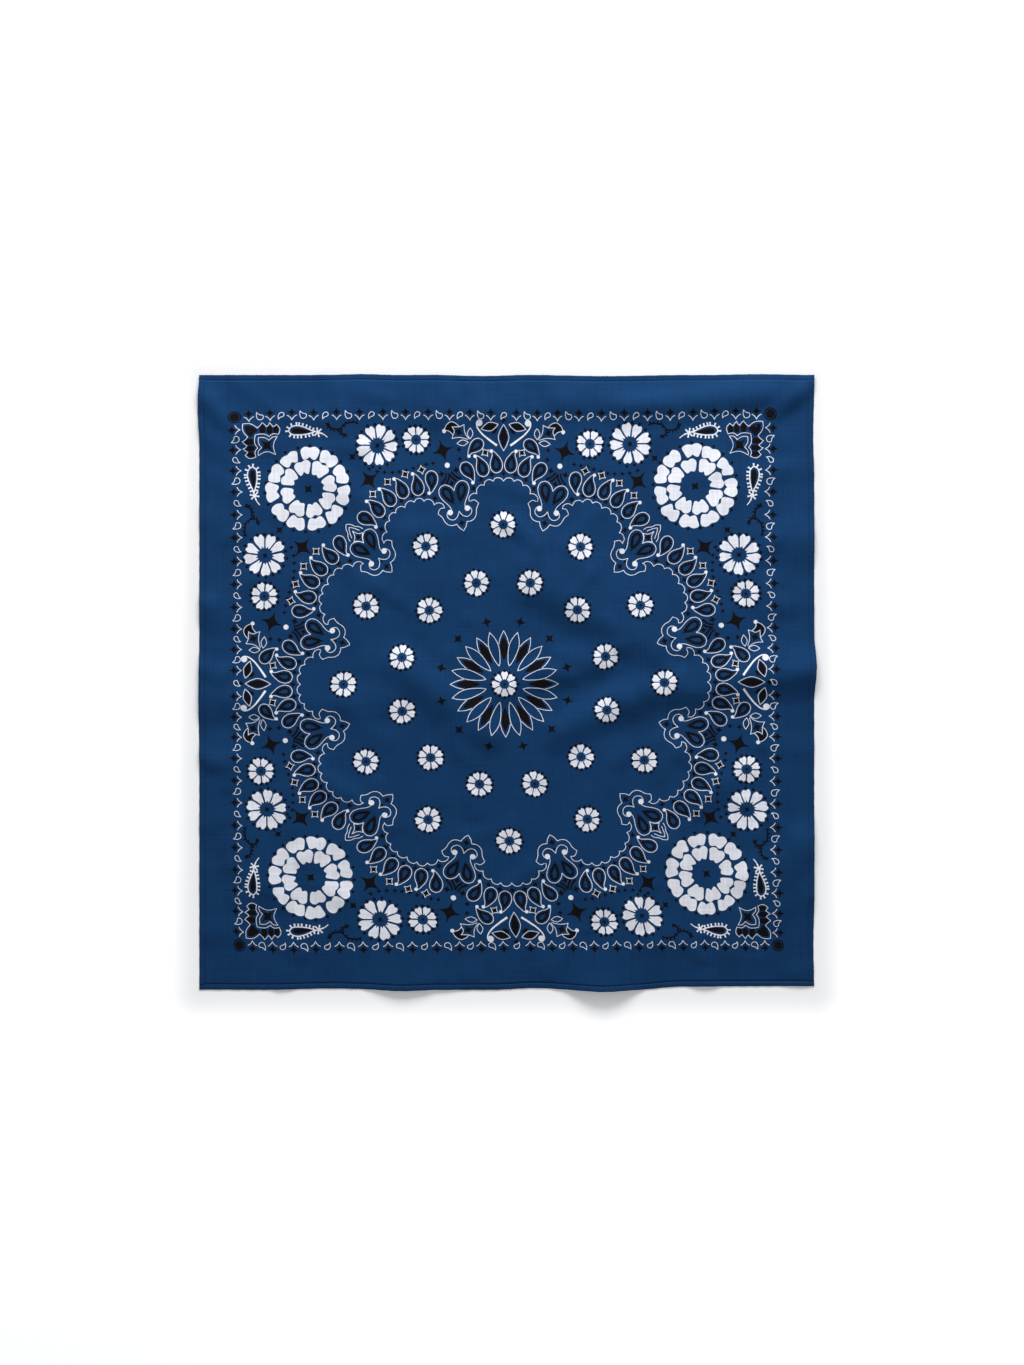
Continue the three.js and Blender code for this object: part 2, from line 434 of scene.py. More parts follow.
# %% [markdown]
# The panel.
# The cloth could be a single sheet of faces, but a real edge has a thickness and the underside can be
# seen when the part is turned over, so it is a closed shell. A quarter of a millimetre of cotton is
# drawn as 0.4 mm. A grid of 2.8 mm cells follows every crease, and the upper and lower grids share a
# rim. The panel runs a little under its hems, as the hem is the panel's own edge turned under.

# %% The cloth panel, a thin closed shell on its solid's form
PANEL_CELLS = 198
UNDERSIDE = 0.05         # of the cloth over the surface, so that the two never share a face
CLOTH_THICKNESS = 0.4
UNDER_HEM = 0.5          # how far the panel runs in under a hem


def shell_faces(cells):
    """Faces of an upper grid, a lower grid and the rim between them."""
    side = cells + 1
    lower = np.arange(side * side).reshape(side, side)
    upper = lower + side * side
    def quads(a, b, c, d):
        return np.stack([a.ravel(), b.ravel(), c.ravel(), d.ravel()], axis=1)
    faces = [
        quads(upper[:-1, :-1], upper[:-1, 1:], upper[1:, 1:], upper[1:, :-1]),
        quads(lower[:-1, :-1], lower[1:, :-1], lower[1:, 1:], lower[:-1, 1:]),
        quads(lower[0, :-1], lower[0, 1:], upper[0, 1:], upper[0, :-1]),
        quads(lower[:-1, -1], lower[1:, -1], upper[1:, -1], upper[:-1, -1]),
        quads(lower[-1, 1:], lower[-1, :-1], upper[-1, :-1], upper[-1, 1:]),
        quads(lower[1:, 0], lower[:-1, 0], upper[:-1, 0], upper[1:, 0]),
    ]
    return np.concatenate(faces).tolist()


reach = HEM_START + UNDER_HEM
grid_y, grid_x = np.meshgrid(*[np.linspace(-reach, reach, PANEL_CELLS + 1)] * 2, indexing="ij")
panel_points = np.concatenate([
    cloth_point(grid_x, grid_y, UNDERSIDE).reshape(-1, 3),
    cloth_point(grid_x, grid_y, UNDERSIDE + CLOTH_THICKNESS).reshape(-1, 3),
])
panel = piece("Cloth_panel", panel_points, shell_faces(PANEL_CELLS), panel_cotton)
map_from_above(panel)
print("panel:", triangles(panel), "triangles")

# %% [markdown]
# The hems.
# Each edge is turned under twice and sewn down, so it is three layers thick with a rounded fold, and
# the stitching pulls a shallow groove that puckers the fold a little between stitches. A swept section
# does this well: the section is a short list of points, and the pucker is a slow wave and a quick one
# along the hem, not in step with each other, as a sewing machine leaves them.

# %% Hems, swept along the four edges
STITCH_LINE = 1.1        # from the hem's inner edge, 3.5 mm from the folded one
HEM_STEP = 1.6           # between two sections along the hem
# Section of a hem: how far out from its inner edge, how high, and its share of the pucker
HEM_SECTION = [
    (-0.25, 0.05, 0.0),
    (4.0, 0.03, 0.0),
    (4.5, 0.20, 0.3),
    (4.6, 0.42, 0.6),
    (4.4, 0.66, 1.0),
    (3.7, 0.79, 1.0),
    (2.5, 0.82, 0.8),
    (1.6, 0.80, 0.5),
    (STITCH_LINE, 0.74, 0.1),
    (0.6, 0.77, 0.5),
    (0.15, 0.66, 0.3),
    (-0.25, 0.40, 0.0),
]


PUCKER_OUT = 0.16        # how far the stitching moves the folded edge each way
PUCKER_UP = 0.11
HEM_FOLD = 3.0           # from here outward a section's points are on the folded edge


def pucker(along):
    """How the stitching draws the hem up and down, from -1 to 1."""
    quick = np.sin(along * 2.05 + 1.3 * np.sin(along * 0.31))
    slow = np.sin(along * 0.42 + 2.0 * np.sin(along * 0.057))
    return 0.6 * quick * (0.6 + 0.4 * slow) + 0.4 * slow


def hem_point(to_square, along, out, height):
    x, y = to_square(along, HEM_START + out)
    return cloth_point(x, y, height)


def hem_points(to_square, along):
    """The section at each place along the hem, as an array of sections."""
    wave = pucker(along)[:, None]
    out, height, share = [np.array(column)[None, :] for column in zip(*HEM_SECTION)]
    moved_out = out + PUCKER_OUT * wave * (out > HEM_FOLD)
    raised = height + PUCKER_UP * share * wave
    return hem_point(to_square, *np.broadcast_arrays(along[:, None], moved_out, raised))


def swept_faces(sections, around):
    ring = np.arange(sections * around).reshape(sections, around)
    after = np.roll(ring, -1, axis=1)
    sides = np.stack([ring[:-1], ring[1:], after[1:], after[:-1]], axis=-1).reshape(-1, 4).tolist()
    return sides + [ring[0].tolist(), ring[-1][::-1].tolist()]


# The long hems take the corners, and the two others end at them, as in the CAD model
HEMS = [
    ("hem_top", HALF, lambda along, out: (-along, out)),
    ("hem_bottom", HALF, lambda along, out: (along, -out)),
    ("hem_left", HEM_START, lambda along, out: (-out, -along)),
    ("hem_right", HEM_START, lambda along, out: (out, along)),
]
hems = []
for node, hem_reach, to_square in HEMS:
    along = np.linspace(-hem_reach, hem_reach, round(2 * hem_reach / HEM_STEP) + 1)
    sections = hem_points(to_square, along)
    hem = piece(node.capitalize(), sections, swept_faces(len(along), len(HEM_SECTION)), hem_cotton)
    map_from_above(hem)
    hems.append(hem)
print("hems:", [(hem.name, triangles(hem)) for hem in hems])

# %% [markdown]
# The stitching.
# A hem has a few hundred stitches, all alike, which is just what Geometry Nodes are for: a line is
# resampled at the stitch pitch, and a small spindle of thread is put on each point, turned along the
# line. Modelling one stitch and copying it by hand would give the same thing, but no longer let the
# pitch be changed in one place.

# %% Turning what a tree makes into a plain piece
def use_tree(obj, tree, **values):
    """Puts the tree on obj, with each named input set by its socket's identifier."""
    modifier = obj.modifiers.new(tree.name, "NODES")
    modifier.node_group = tree
    for socket in tree.interface.items_tree:
        if socket.name.replace(" ", "_") in values:
            modifier[socket.identifier] = values[socket.name.replace(" ", "_")]


def settled(obj, name):
    """A plain mesh of what obj's trees make, in a new object. obj itself is removed."""
    bpy.context.view_layer.update()
    graph = bpy.context.evaluated_depsgraph_get()
    mesh = bpy.data.meshes.new_from_object(obj.evaluated_get(graph), depsgraph=graph)
    mesh.name = name
    made = bpy.data.objects.new(name, mesh)
    bpy.context.scene.collection.objects.link(made)
    bpy.data.objects.remove(obj)
    return made


def new_tree(name, inputs):
    """An empty geometry tree with its named inputs. Returns it with the nodes at both ends."""
    tree = bpy.data.node_groups.new(name, "GeometryNodeTree")
    tree.interface.new_socket("Geometry", in_out="INPUT", socket_type="NodeSocketGeometry")
    tree.interface.new_socket("Geometry", in_out="OUTPUT", socket_type="NodeSocketGeometry")
    for label, kind in inputs:
        tree.interface.new_socket(label, in_out="INPUT", socket_type=kind)
    return tree, add(tree, "NodeGroupInput").outputs, add(tree, "NodeGroupOutput")


# %% One tree for every row of stitches
tree, given, made = new_tree("stitches along a line", [
    ("Pitch", "NodeSocketFloat"),
    ("Stitch size", "NodeSocketVector"),
    ("Thread", "NodeSocketMaterial"),
])
line = add(tree, "GeometryNodeMeshToCurve", {"Mesh": given["Geometry"]})
points = add(tree, "GeometryNodeResampleCurve", {"Curve": line.outputs[0], "Length": given["Pitch"]},
             mode="LENGTH")
spindle = add(tree, "GeometryNodeMeshUVSphere", {"Segments": 6, "Rings": 5, "Radius": 1.0})
stitch = add(tree, "GeometryNodeTransform", {"Geometry": spindle.outputs[0], "Scale": given["Stitch size"]})
turned = add(tree, "FunctionNodeAlignRotationToVector",
             {"Vector": add(tree, "GeometryNodeInputTangent").outputs[0]}, axis="X")
row = add(tree, "GeometryNodeInstanceOnPoints", {
    "Points": points.outputs[0],
    "Instance": stitch.outputs[0],
    "Rotation": turned.outputs[0],
})
real = add(tree, "GeometryNodeRealizeInstances", {0: row.outputs[0]})
coloured = add(tree, "GeometryNodeSetMaterial", {0: real.outputs[0], "Material": given["Thread"]})
tree.links.new(coloured.outputs[0], made.inputs[0])
stitch_tree = tree

# %% Rows of stitches in the hems' grooves
STITCH_PITCH = 3.1
STITCH_HALF = (1.0, 0.26, 0.17)  # half length, width and height of the thread that shows
STITCH_HEIGHT = 0.76
STITCH_MARGIN = 2.0              # a row starts and ends this far from the hem's ends

rows, edges = [], []
for node, hem_reach, to_square in HEMS:
    end = HEM_START + STITCH_LINE - STITCH_MARGIN
    along = np.linspace(-end, end, 420)
    start = sum(len(row) for row in rows)
    rows.append(hem_point(to_square, along, np.full_like(along, STITCH_LINE), STITCH_HEIGHT))
    edges += [(start + i, start + i + 1) for i in range(len(along) - 1)]
seam_mesh = bpy.data.meshes.new("seam lines")
seam_mesh.from_pydata(np.concatenate(rows).tolist(), edges, [])
seams = bpy.data.objects.new("seam lines", seam_mesh)
bpy.context.scene.collection.objects.link(seams)
use_tree(seams, stitch_tree, Pitch=STITCH_PITCH * MM, Thread=navy_thread,
         Stitch_size=[value * MM for value in STITCH_HALF])
stitches = settled(seams, "Hem_stitches")
stitches.data.shade_smooth()
print("stitches:", triangles(stitches), "triangles")

# %% [markdown]
# Drawing the print.
# The print is two screens, one for the white ink and one for the black, and each motif has a plate for
# both. A motif is drawn flat, in millimetres, from a few points with smooth curves between them and
# corners where the curves meet. A line becomes a ribbon, mitred at its corners, and a solid shape is
# filled with small triangles so that the ink can follow the folds of the cloth.

# %% Smooth curves, straight joins
CURVE_STEP = 1.0
LINE = 0.55              # width of the white printed lines


def smooth(points, step=CURVE_STEP):
    """A curve through the points, sampled about every step mm."""
    p = np.array(points, float)
    chords = np.diff(p, axis=0)
    lengths = np.linalg.norm(chords, axis=1)[:, None]
    ways = chords / lengths
    tangents = np.empty_like(p)
    tangents[1:-1] = (lengths[1:] * ways[:-1] + lengths[:-1] * ways[1:]) / (lengths[1:] + lengths[:-1])
    tangents[0] = 1.5 * ways[0] - 0.5 * tangents[1] if len(p) > 2 else ways[0]
    tangents[-1] = 1.5 * ways[-1] - 0.5 * tangents[-2] if len(p) > 2 else ways[-1]
    samples = []
    for i, length in enumerate(lengths[:, 0]):
        count = max(1, round(length / step))
        t = (np.arange(count) / count)[:, None]
        h = length
        samples.append((2 * t**3 - 3 * t**2 + 1) * p[i] + (t**3 - 2 * t**2 + t) * h * tangents[i]
                       + (3 * t**2 - 2 * t**3) * p[i + 1] + (t**3 - t**2) * h * tangents[i + 1])
    return np.vstack(samples + [p[-1:]])


def joined(*stretches, step=CURVE_STEP):
    """Smooth stretches that meet in corners, as one open path."""
    paths = [smooth(stretch, step) for stretch in stretches]
    return np.vstack([paths[0]] + [path[1:] for path in paths[1:]])


def closed(*stretches, step=CURVE_STEP):
    """The same for a ring, whose last stretch ends where the first one starts."""
    return joined(*stretches, step=step)[:-1]


def flipped(points):
    return [(-x, y) for x, y in points][::-1]


def moved(path, at=(0.0, 0.0), turn=0.0, size=1.0):
    angle = math.radians(turn)
    c, s = math.cos(angle) * size, math.sin(angle) * size
    return np.asarray(path) @ np.array([[c, s], [-s, c]]) + np.array(at, float)


# %% Ribbons and fills
FILL_CELL = 3.0


def outward(path, ring):
    """The mitre at each point: which way is left of the path there, longer at corners."""
    ahead = np.roll(path, -1, axis=0) - path
    if not ring:
        ahead[-1] = ahead[-2]
    ahead /= np.linalg.norm(ahead, axis=1)[:, None]
    behind = np.roll(ahead, 1, axis=0)
    if not ring:
        behind[0] = ahead[0]
    both_ways = ahead + behind
    mitre = np.stack([-both_ways[:, 1], both_ways[:, 0]], axis=1)
    return mitre * (2 / np.maximum((mitre**2).sum(axis=1), 1.0))[:, None]


def ribbon(path, width=LINE, ring=False):
    """A printed line along the path. width may be one number or one for each end."""
    path = np.asarray(path, float)
    widths = np.linspace(*(width if isinstance(width, tuple) else (width, width)), len(path))
    offset = outward(path, ring) * widths[:, None] / 2
    points = np.vstack([path + offset, path - offset])
    n = len(path)
    count = n if ring else n - 1
    return points, [(i, i + n, (i + 1) % n + n, (i + 1) % n) for i in range(count)]


def inside(points, loops):
    """Which points lie in the shape: a line to the right crosses its loops an odd number of times."""
    x, y = points[:, :1], points[:, 1:]
    crossings = np.zeros(len(points), dtype=int)
    for loop in loops:
        after = np.roll(loop, -1, axis=0)
        spans = (loop[:, 1] > y) != (after[:, 1] > y)
        rise = np.where(after[:, 1] == loop[:, 1], 1.0, after[:, 1] - loop[:, 1])
        meets = loop[:, 0] + (after[:, 0] - loop[:, 0]) * (y - loop[:, 1]) / rise
        crossings += (spans & (x < meets)).sum(axis=1)
    return crossings % 2 == 1


def filled(outer, *holes, cell=FILL_CELL):
    """A solid shape, with holes, in triangles that are small enough to follow the cloth."""
    loops = [np.asarray(loop, float) for loop in (outer, *holes)]
    points = np.vstack(loops)
    edges, start = [], 0
    for loop in loops:
        edges += [(start + i, start + (i + 1) % len(loop)) for i in range(len(loop))]
        start += len(loop)
    low, high = points.min(axis=0), points.max(axis=0)
    if (high - low).min() > 1.5 * cell:
        across = np.arange(low[0] + cell / 2, high[0], cell)
        up = np.arange(low[1] + cell / 2, high[1], cell)
        grid = np.stack(np.meshgrid(across, up), axis=-1).reshape(-1, 2)
        clear = np.linalg.norm(grid[:, None] - points[None], axis=2).min(axis=1) > cell * 0.45
        points = np.vstack([points, grid[clear]])
    cut = delaunay_2d_cdt([Vector(point) for point in points], edges, [], 1, 1e-6)
    corners = np.array([point[:] for point in cut[0]])
    faces = np.array(cut[2])
    faces = faces[inside(corners[faces].mean(axis=1), loops)]
    used, faces = np.unique(faces, return_inverse=True)
    return corners[used], faces.reshape(-1, 3).tolist()


def disc(radius, at=(0.0, 0.0), sides=14):
    angles = np.arange(sides) / sides * 2 * np.pi
    return np.stack([np.cos(angles), np.sin(angles)], axis=1) * radius + np.array(at)


def star(half, at=(0.0, 0.0), turn=0.0, body=0.18):
    """A four-pointed star with hollow sides. body is how far the sides stay off its middle."""
    t = np.array([0.0, 0.3, 0.5, 0.7])[:, None]
    bend = 2 * t * (1 - t) * np.array([body, body])
    side = ((1 - t)**2 * np.array([1.0, 0.0]) + bend + t**2 * np.array([0.0, 1.0])) * half
    return moved(np.vstack([moved(side, turn=90 * k) for k in range(4)]), at, turn)


def pointed_leaf(length, width, at=(0.0, 0.0), turn=0.0, belly=0.0):
    """A leaf with two points, upright. belly moves its widest place up."""
    side = [(0, -length / 2), (width * 0.36, -length * 0.22 + belly), (width / 2, belly),
            (width * 0.36, length * 0.24 + belly), (0, length / 2)]
    return moved(closed(side, flipped(side)), at, turn)


def both(patches):
    """The patches and their mirror image."""
    return list(patches) + [(points * (-1, 1), faces) for points, faces in patches]


print("drawing tools ready: a star has", len(star(4.0)), "corners")

# %% [markdown]
# The plates.
# Each motif goes into both screens under the same number: its white patches in one collection and its
# black ones in the other, so that one list of places prints them in register. Patches that overlap in
# one ink lie a hundredth of a millimetre apart, as wet ink does, so no two faces share a place.

# %% Plates for the two inks
FILM_STEP = 0.012        # between overlapping patches of one ink
screens = {ink: bpy.data.collections.new(f"{ink} screen") for ink in ("white", "black")}
plate_numbers = {}


def plate(name, white=(), black=()):
    number = len(plate_numbers)
    plate_numbers[name] = number
    for ink, patches in (("white", white), ("black", black)):
        points, faces = [], []
        for order, (patch_points, patch_faces) in enumerate(patches):
            start = len(points)
            level = FILM_STEP * (1 + order % 5) if order else 0.0
            points += [(x * MM, y * MM, level * MM) for x, y in patch_points]
            faces += [[start + i for i in face] for face in patch_faces]
        mesh = bpy.data.meshes.new(f"{number:02d} {ink} {name}")
        mesh.from_pydata(points, [], faces)
        screens[ink].objects.link(bpy.data.objects.new(mesh.name, mesh))


# %% Stars, dots and the small tiles
STAR_PLATE = 10.0        # half size of the star on its plate
plate("star", black=[filled(star(STAR_PLATE, body=0.05))])
plate("small star", black=[filled(star(STAR_PLATE, body=0.12))])
tile = closed(*[[(2.9, 2.9), (0, 2.1), (-2.9, 2.9)], [(-2.9, 2.9), (-2.1, 0), (-2.9, -2.9)],
                [(-2.9, -2.9), (0, -2.1), (2.9, -2.9)], [(2.9, -2.9), (2.1, 0), (2.9, 2.9)]])
plate("tile", white=[ribbon(tile, 0.5, ring=True)], black=[filled(star(3.7, turn=45, body=0.2))])
plate("corner disc", black=[filled(disc(5.6, sides=28), disc(4.5, sides=24)), filled(disc(3.9, sides=22))])
print("small plates:", list(plate_numbers))

# %% [markdown]
# Drops.
# The medallion is ringed with paisley drops, each a white outline that ends in a ball, with a black
# band inside it. Black beads sit along both edges of the band, so that it looks like a string of them.

# %% Beaded bands
BEAD = 0.78              # radius
BEAD_PITCH = 2.4


def beads(loop, pitch=BEAD_PITCH, size=BEAD):
    """Small discs, evenly along a closed path."""
    path = np.vstack([loop, loop[:1]])
    steps = np.linalg.norm(np.diff(path, axis=0), axis=1)
    travelled = np.concatenate([[0], np.cumsum(steps)])
    places = np.linspace(0, travelled[-1], round(travelled[-1] / pitch), endpoint=False)
    across = np.interp(places, travelled, path[:, 0])
    up = np.interp(places, travelled, path[:, 1])
    return [disc(size, at, sides=7) for at in zip(across, up)]


def beaded_band(band, core):
    """A band between two loops, with beads along both."""
    return [filled(band, core)] + [filled(bead) for bead in beads(band) + beads(core)]


drop_line = joined([(-3.9, 12.2), (-3.8, 8.9), (-5.2, 4.4), (-5.8, 0.2), (-4.2, -4.5), (0, -6.6),
                    (4.3, -4.5), (5.8, 0.2), (4.6, 4.8), (1.2, 9.2), (-2.4, 12.4), (-4.4, 13.2)])
drop_band = closed([(-2.2, 9.4), (-2.4, 6.8), (-3.4, 3.6), (-3.8, 0.2), (-2.7, -3.2), (0, -4.5),
                    (2.8, -3.2), (3.8, 0.2), (2.9, 3.6), (0.5, 7.1), (-2.2, 9.4)])
drop_core = closed([(-1.1, 6.2), (-2.0, 2.8), (-2.4, -0.2), (-1.7, -2.2), (0, -3.1), (1.7, -2.2),
                    (2.4, 0), (1.5, 3.0), (-1.1, 6.2)])
plate("drop", white=[ribbon(drop_line), filled(disc(1.6, (-4.6, 12.6)))],
      black=beaded_band(drop_band, drop_core))
print("a drop has", len(beads(drop_band) + beads(drop_core)), "beads")

# %% [markdown]
# Scalloped lobes and hearts.
# The medallion's edge is twelve lobes of eight scallops, with a heart between each two. The lobe is
# pure rule: cusps on a circle, with an arc that swells out between each two. The heart is drawn from
# listed points on its right side and mirrored. Its outline curls into a ball, and a leafy edge runs round
# it from the last scallop of one lobe to the first of the next.

# %% The scalloped lobe
LOBE_RADIUS = 148.8      # of the lobe's middle from the centre of the print
SCALLOP_SWELL = 2.8
# Where its scallops meet: the angle from straight out, and the distance from the lobe's middle
CUSPS = [(0.0, 34.5), (15.7, 35.7), (30.2, 35.6), (46.4, 34.0), (62.5, 35.4)]


def on_lobe(angle, radius):
    """A point on a circle about the lobe's middle, at an angle from straight out."""
    turn = math.radians(angle)
    return (radius * math.sin(turn), LOBE_RADIUS + radius * math.cos(turn))


scallops = []
for (low, low_radius), (high, high_radius) in zip(CUSPS, CUSPS[1:]):
    angles = np.linspace(low, high, 5)
    radii = np.linspace(low_radius, high_radius, 5) + np.array([0, 0.82, 1.0, 0.82, 0]) * SCALLOP_SWELL
    scallops.append([on_lobe(angle, radius) for angle, radius in zip(angles, radii)])
half_lobe = joined(*scallops)
lobe_line = np.vstack([half_lobe[:0:-1] * (-1, 1), half_lobe])
lobe_stars = [star(3.1, on_lobe(angle, radius), -angle)
              for angle, radius in ((0, 41.4), (15.3, 41.6), (30, 41.4), (45, 39.6),
                                    (-15.3, 41.6), (-30, 41.4), (-45, 39.6))]
plate("lobe", white=[ribbon(lobe_line)], black=[filled(shape) for shape in lobe_stars])

# %% The heart between two lobes
turn = math.radians(15)
last = on_lobe(-CUSPS[-1][0], CUSPS[-1][1])
heart_start = (last[0] * math.cos(turn) + last[1] * math.sin(turn),
               last[1] * math.cos(turn) - last[0] * math.sin(turn))
heart_side = [(0, 180.3), (2.6, 184.7), (8.2, 187.4), (12.9, 185.0), (14.1, 179.9), (12.3, 175.1),
              (9.2, 170.6), (7, 166.9), (6.6, 164.0), (8.3, 162.3)]
heart_curl = [(10.6, 163.1), (11.6, 159.4), (9.6, 156.5), (6, 155.4), (2.8, 157.1)]
heart_edge = joined(
    [heart_start, (15.6, 168.1), (19.3, 164.0)],
    [(19.3, 164.0), (16.1, 159.6), (14.8, 155.3), (12.2, 152.0), (8.2, 150.7), (4.9, 151.1)],
    [(4.9, 151.1), (3.4, 147.7), (0, 143.9)])
heart_curl_line = joined(heart_curl + [(0, 161.7)])
heart_white = both([ribbon(joined(heart_side)), filled(disc(2.5, (8.1, 162.5))),
                    ribbon(heart_curl_line), ribbon(heart_edge)])


def beaded_ring(at, toward):
    """A long beaded teardrop, whose tail points from at to toward."""
    way = (toward[0] - at[0], toward[1] - at[1])
    turn = math.degrees(math.atan2(way[1], way[0])) - 90
    band = closed([(0, 9.9), (-2.2, 6.1), (-3.8, 1.6), (-4.0, -2.1), (-2.5, -5.5), (0, -6.8),
                   (2.5, -5.5), (4.0, -2.1), (3.8, 1.6), (2.2, 6.1), (0, 9.9)])
    core = closed([(0, 6.2), (-1.9, 1.8), (-2.4, -1.6), (-1.6, -4.1), (0, -5.1),
                   (1.6, -4.1), (2.4, -1.6), (1.9, 1.8), (0, 6.2)])
    return beaded_band(moved(band, at, turn), moved(core, at, turn))


heart_black = both(beaded_ring((6.5, 178.6), (1.5, 165.8)))
heart_black += [filled(star(3.5, (0, 151.0))), filled([(-1.4, 158.6), (0, 155.6), (1.4, 158.6)])]
plate("heart", white=heart_white, black=heart_black)
print("heart and lobe meet at", [round(value, 1) for value in heart_start])

# %% What stands on the hearts: curved rays on eight of them, a flame on the four in the corners
outer_ray = smooth([(2.4, 197.2), (3.6, 194.2), (5.8, 191.6), (9.6, 189.0)])
inner_ray = smooth([(0.3, 196.2), (0.9, 193.4), (2.7, 190.6), (4.9, 188.1)])
ray_black = both([ribbon(outer_ray, (1.5, 2.1)), ribbon(inner_ray, (1.5, 2.2)),
                  filled(star(3.5, (7.0, 197.5)))]) + [filled(star(3.3, (0, 187.2)))]
plate("rays", white=[filled(disc(2.35, (0, 203.6)))], black=ray_black)

flame_white = both([
    ribbon(joined([(8, 190.0), (6.8, 194.0), (4.5, 196.8), (3.1, 200.4), (0, 203.6)])),
    ribbon(joined([(4.9, 191.2), (3.5, 194.4), (2.1, 197.2), (0, 199.9)])),
    ribbon(joined([(0, 195.5), (2.3, 189.9), (5.6, 187.6)], [(5.6, 187.6), (2.5, 185.1), (0.3, 181.4)])),
])
plate("flame", white=flame_white, black=[filled(star(3.6, (0, 188.0), 45))])

# %% [markdown]
# The centre rosette.
# Twenty-four petals lie round the centre. Every second one is a blue leaf in front, and the black ones
# stand behind, so only their outer ends have an outline. One pair of them is drawn and turned twelve
# times.

# %% The centre rosette
PETAL_TURNS = [30.0 * k for k in range(12)]
PETAL_LINE = 0.58
front_side = [(0, 17.4), (1.2, 19.4), (3.0, 25.4), (4.2, 31.5), (4.4, 36.6), (3.0, 43.0), (0, 49.0)]
back_side = [(4.6, 36.9), (3.0, 43.0), (0, 49.0)]
petal_fill = [(0, 21.5), (1.9, 26.5), (3.4, 32.0), (2.7, 37.8), (0, 44.0)]
rosette_white, rosette_black = [], []
for turn in PETAL_TURNS:
    front = moved(closed(front_side, flipped(front_side)), turn=turn + 15)
    back = moved(joined(back_side, flipped(back_side)), turn=turn)
    rosette_white += [ribbon(front, PETAL_LINE, ring=True), ribbon(back, PETAL_LINE)]
    rosette_black += [
        filled(moved(closed(petal_fill, flipped(petal_fill)), turn=turn)),
        filled(moved(star(5.3, (0, 59.0), body=0.09), turn=turn + 15)),
    ]
plate("rosette", white=rosette_white, black=rosette_black)
print("rosette:", len(rosette_white), "outlines")

# %% [markdown]
# Blossoms.
# Round the centre and in the corners the field is strewn with white flowers. These are plain open
# blossoms: notched petals side by side round a blue eye, and black dots at the petals' tips and between
# them. Petals that are cut a little unevenly, from a fixed seed, look printed from a hand-drawn plate
# and not from a stamp.

# %% Open blossoms
def petal(count, inner, outer, gap, rng):
    """One notched petal, upright, that fills its share of the ring from inner to outer."""
    length = (outer - inner) * rng.uniform(0.9, 1.04)
    def half_width(share, fullness):
        radius = inner + share * length
        return fullness * rng.uniform(0.9, 1.03) * (radius * math.tan(math.pi / count) - gap / 2)
    right = [(half_width(0.02, 0.72), inner + 0.02 * length),
             (half_width(0.35, 1.0), inner + 0.35 * length),
             (half_width(0.72, 0.96), inner + 0.76 * length),
             (half_width(0.9, 0.52), inner + length),
             (0.0, inner + length * rng.uniform(0.84, 0.92))]
    left = [(-half_width(0.9, 0.52), inner + length * rng.uniform(0.94, 1.0)),
            (-half_width(0.72, 0.96), inner + 0.76 * length),
            (-half_width(0.35, 1.0), inner + 0.35 * length),
            (-half_width(0.02, 0.72), inner + 0.02 * length),
            (0.0, inner + length * rng.uniform(0.12, 0.26))]
    return closed([right[-1], *left], [left[-1], *right], step=max(0.8, (outer - inner) / 10))


def blossom(seed, count, inner, outer, gap):
    """A ring of petals, and black dots round the rim, at the petals' tips and between them."""
    rng = np.random.default_rng(seed)
    turns = [360 / count * k + rng.uniform(-1.5, 1.5) for k in range(count)]
    petals = [moved(petal(count, inner, outer, gap, rng), turn=turn) for turn in turns]
    between = [moved(disc(1.45, (0, outer), sides=8), turn=turn + 180 / count) for turn in turns]
    tips = [moved(disc(1.3, (0, outer + 0.9), sides=8), turn=turn) for turn in turns]
    return petals, between + tips


for variant, seed in enumerate((3, 8, 15)):
    petals, dots = blossom(seed, 8, 4.1, 12.3, 1.25)
    plate(f"small blossom {variant}", white=[filled(shape) for shape in petals],
          black=[filled(dot) for dot in dots] + [filled(star(1.9))])
petals, dots = blossom(21, 9, 6.2, 18.8, 1.7)
plate("middle blossom", white=[filled(shape) for shape in petals],
      black=[filled(dot) for dot in dots] + [filled(star(3.0, turn=45))])
outer_petals, outer_dots = blossom(34, 11, 25.6, 37.8, 1.8)
inner_petals, inner_dots = blossom(5, 8, 12.6, 25.6, 1.8)
plate("great blossom",
      white=[filled(shape) for shape in outer_petals + [moved(shape, turn=9) for shape in inner_petals]],
      black=[filled(dot) for dot in outer_dots] + [filled(star(4.6, turn=45))])
print("blossom plates:", [name for name in plate_numbers if "blossom" in name])

# %% [markdown]
# The crest in the middle of each side, and the crest in each corner.
# Both are mirror-symmetric, so half of each is drawn and the other half is its reflection. The side
# crest has a tall leaf, two low leaves, a curling bar, and a sprig with a tulip. The corner crest is a
# lotus whose petals open towards the corner round a hollow-sided tile.

# %% The side crest
tall_leaf = pointed_leaf(23.0, 9.8, (0, 221.6))
low_leaf = pointed_leaf(16.2, 7.5, (12.9, 231.0), 75)
curl_bar = joined([(6.2, 214.7), (13.8, 219.9), (21.1, 225.9), (24.7, 231.2), (24.9, 234.9), (23.0, 236.5)])
sprig_leaf_up = pointed_leaf(9.6, 5.2, (31.0, 224.9), 2)
sprig_leaf_out = pointed_leaf(10.4, 5.0, (38.0, 216.6), 84)
tulip_left = joined([(32.1, 220.3), (35.4, 224.5), (36.6, 232.5)],
                    [(36.6, 232.5), (40.9, 230.5)],
                    [(40.9, 230.5), (47.7, 230.3)],
                    [(47.7, 230.3), (45.6, 226.7), (46.8, 223.3)],
                    [(46.8, 223.3), (47.7, 220.3)],
                    [(47.7, 220.3), (40.4, 221.3), (33.0, 219.5)])
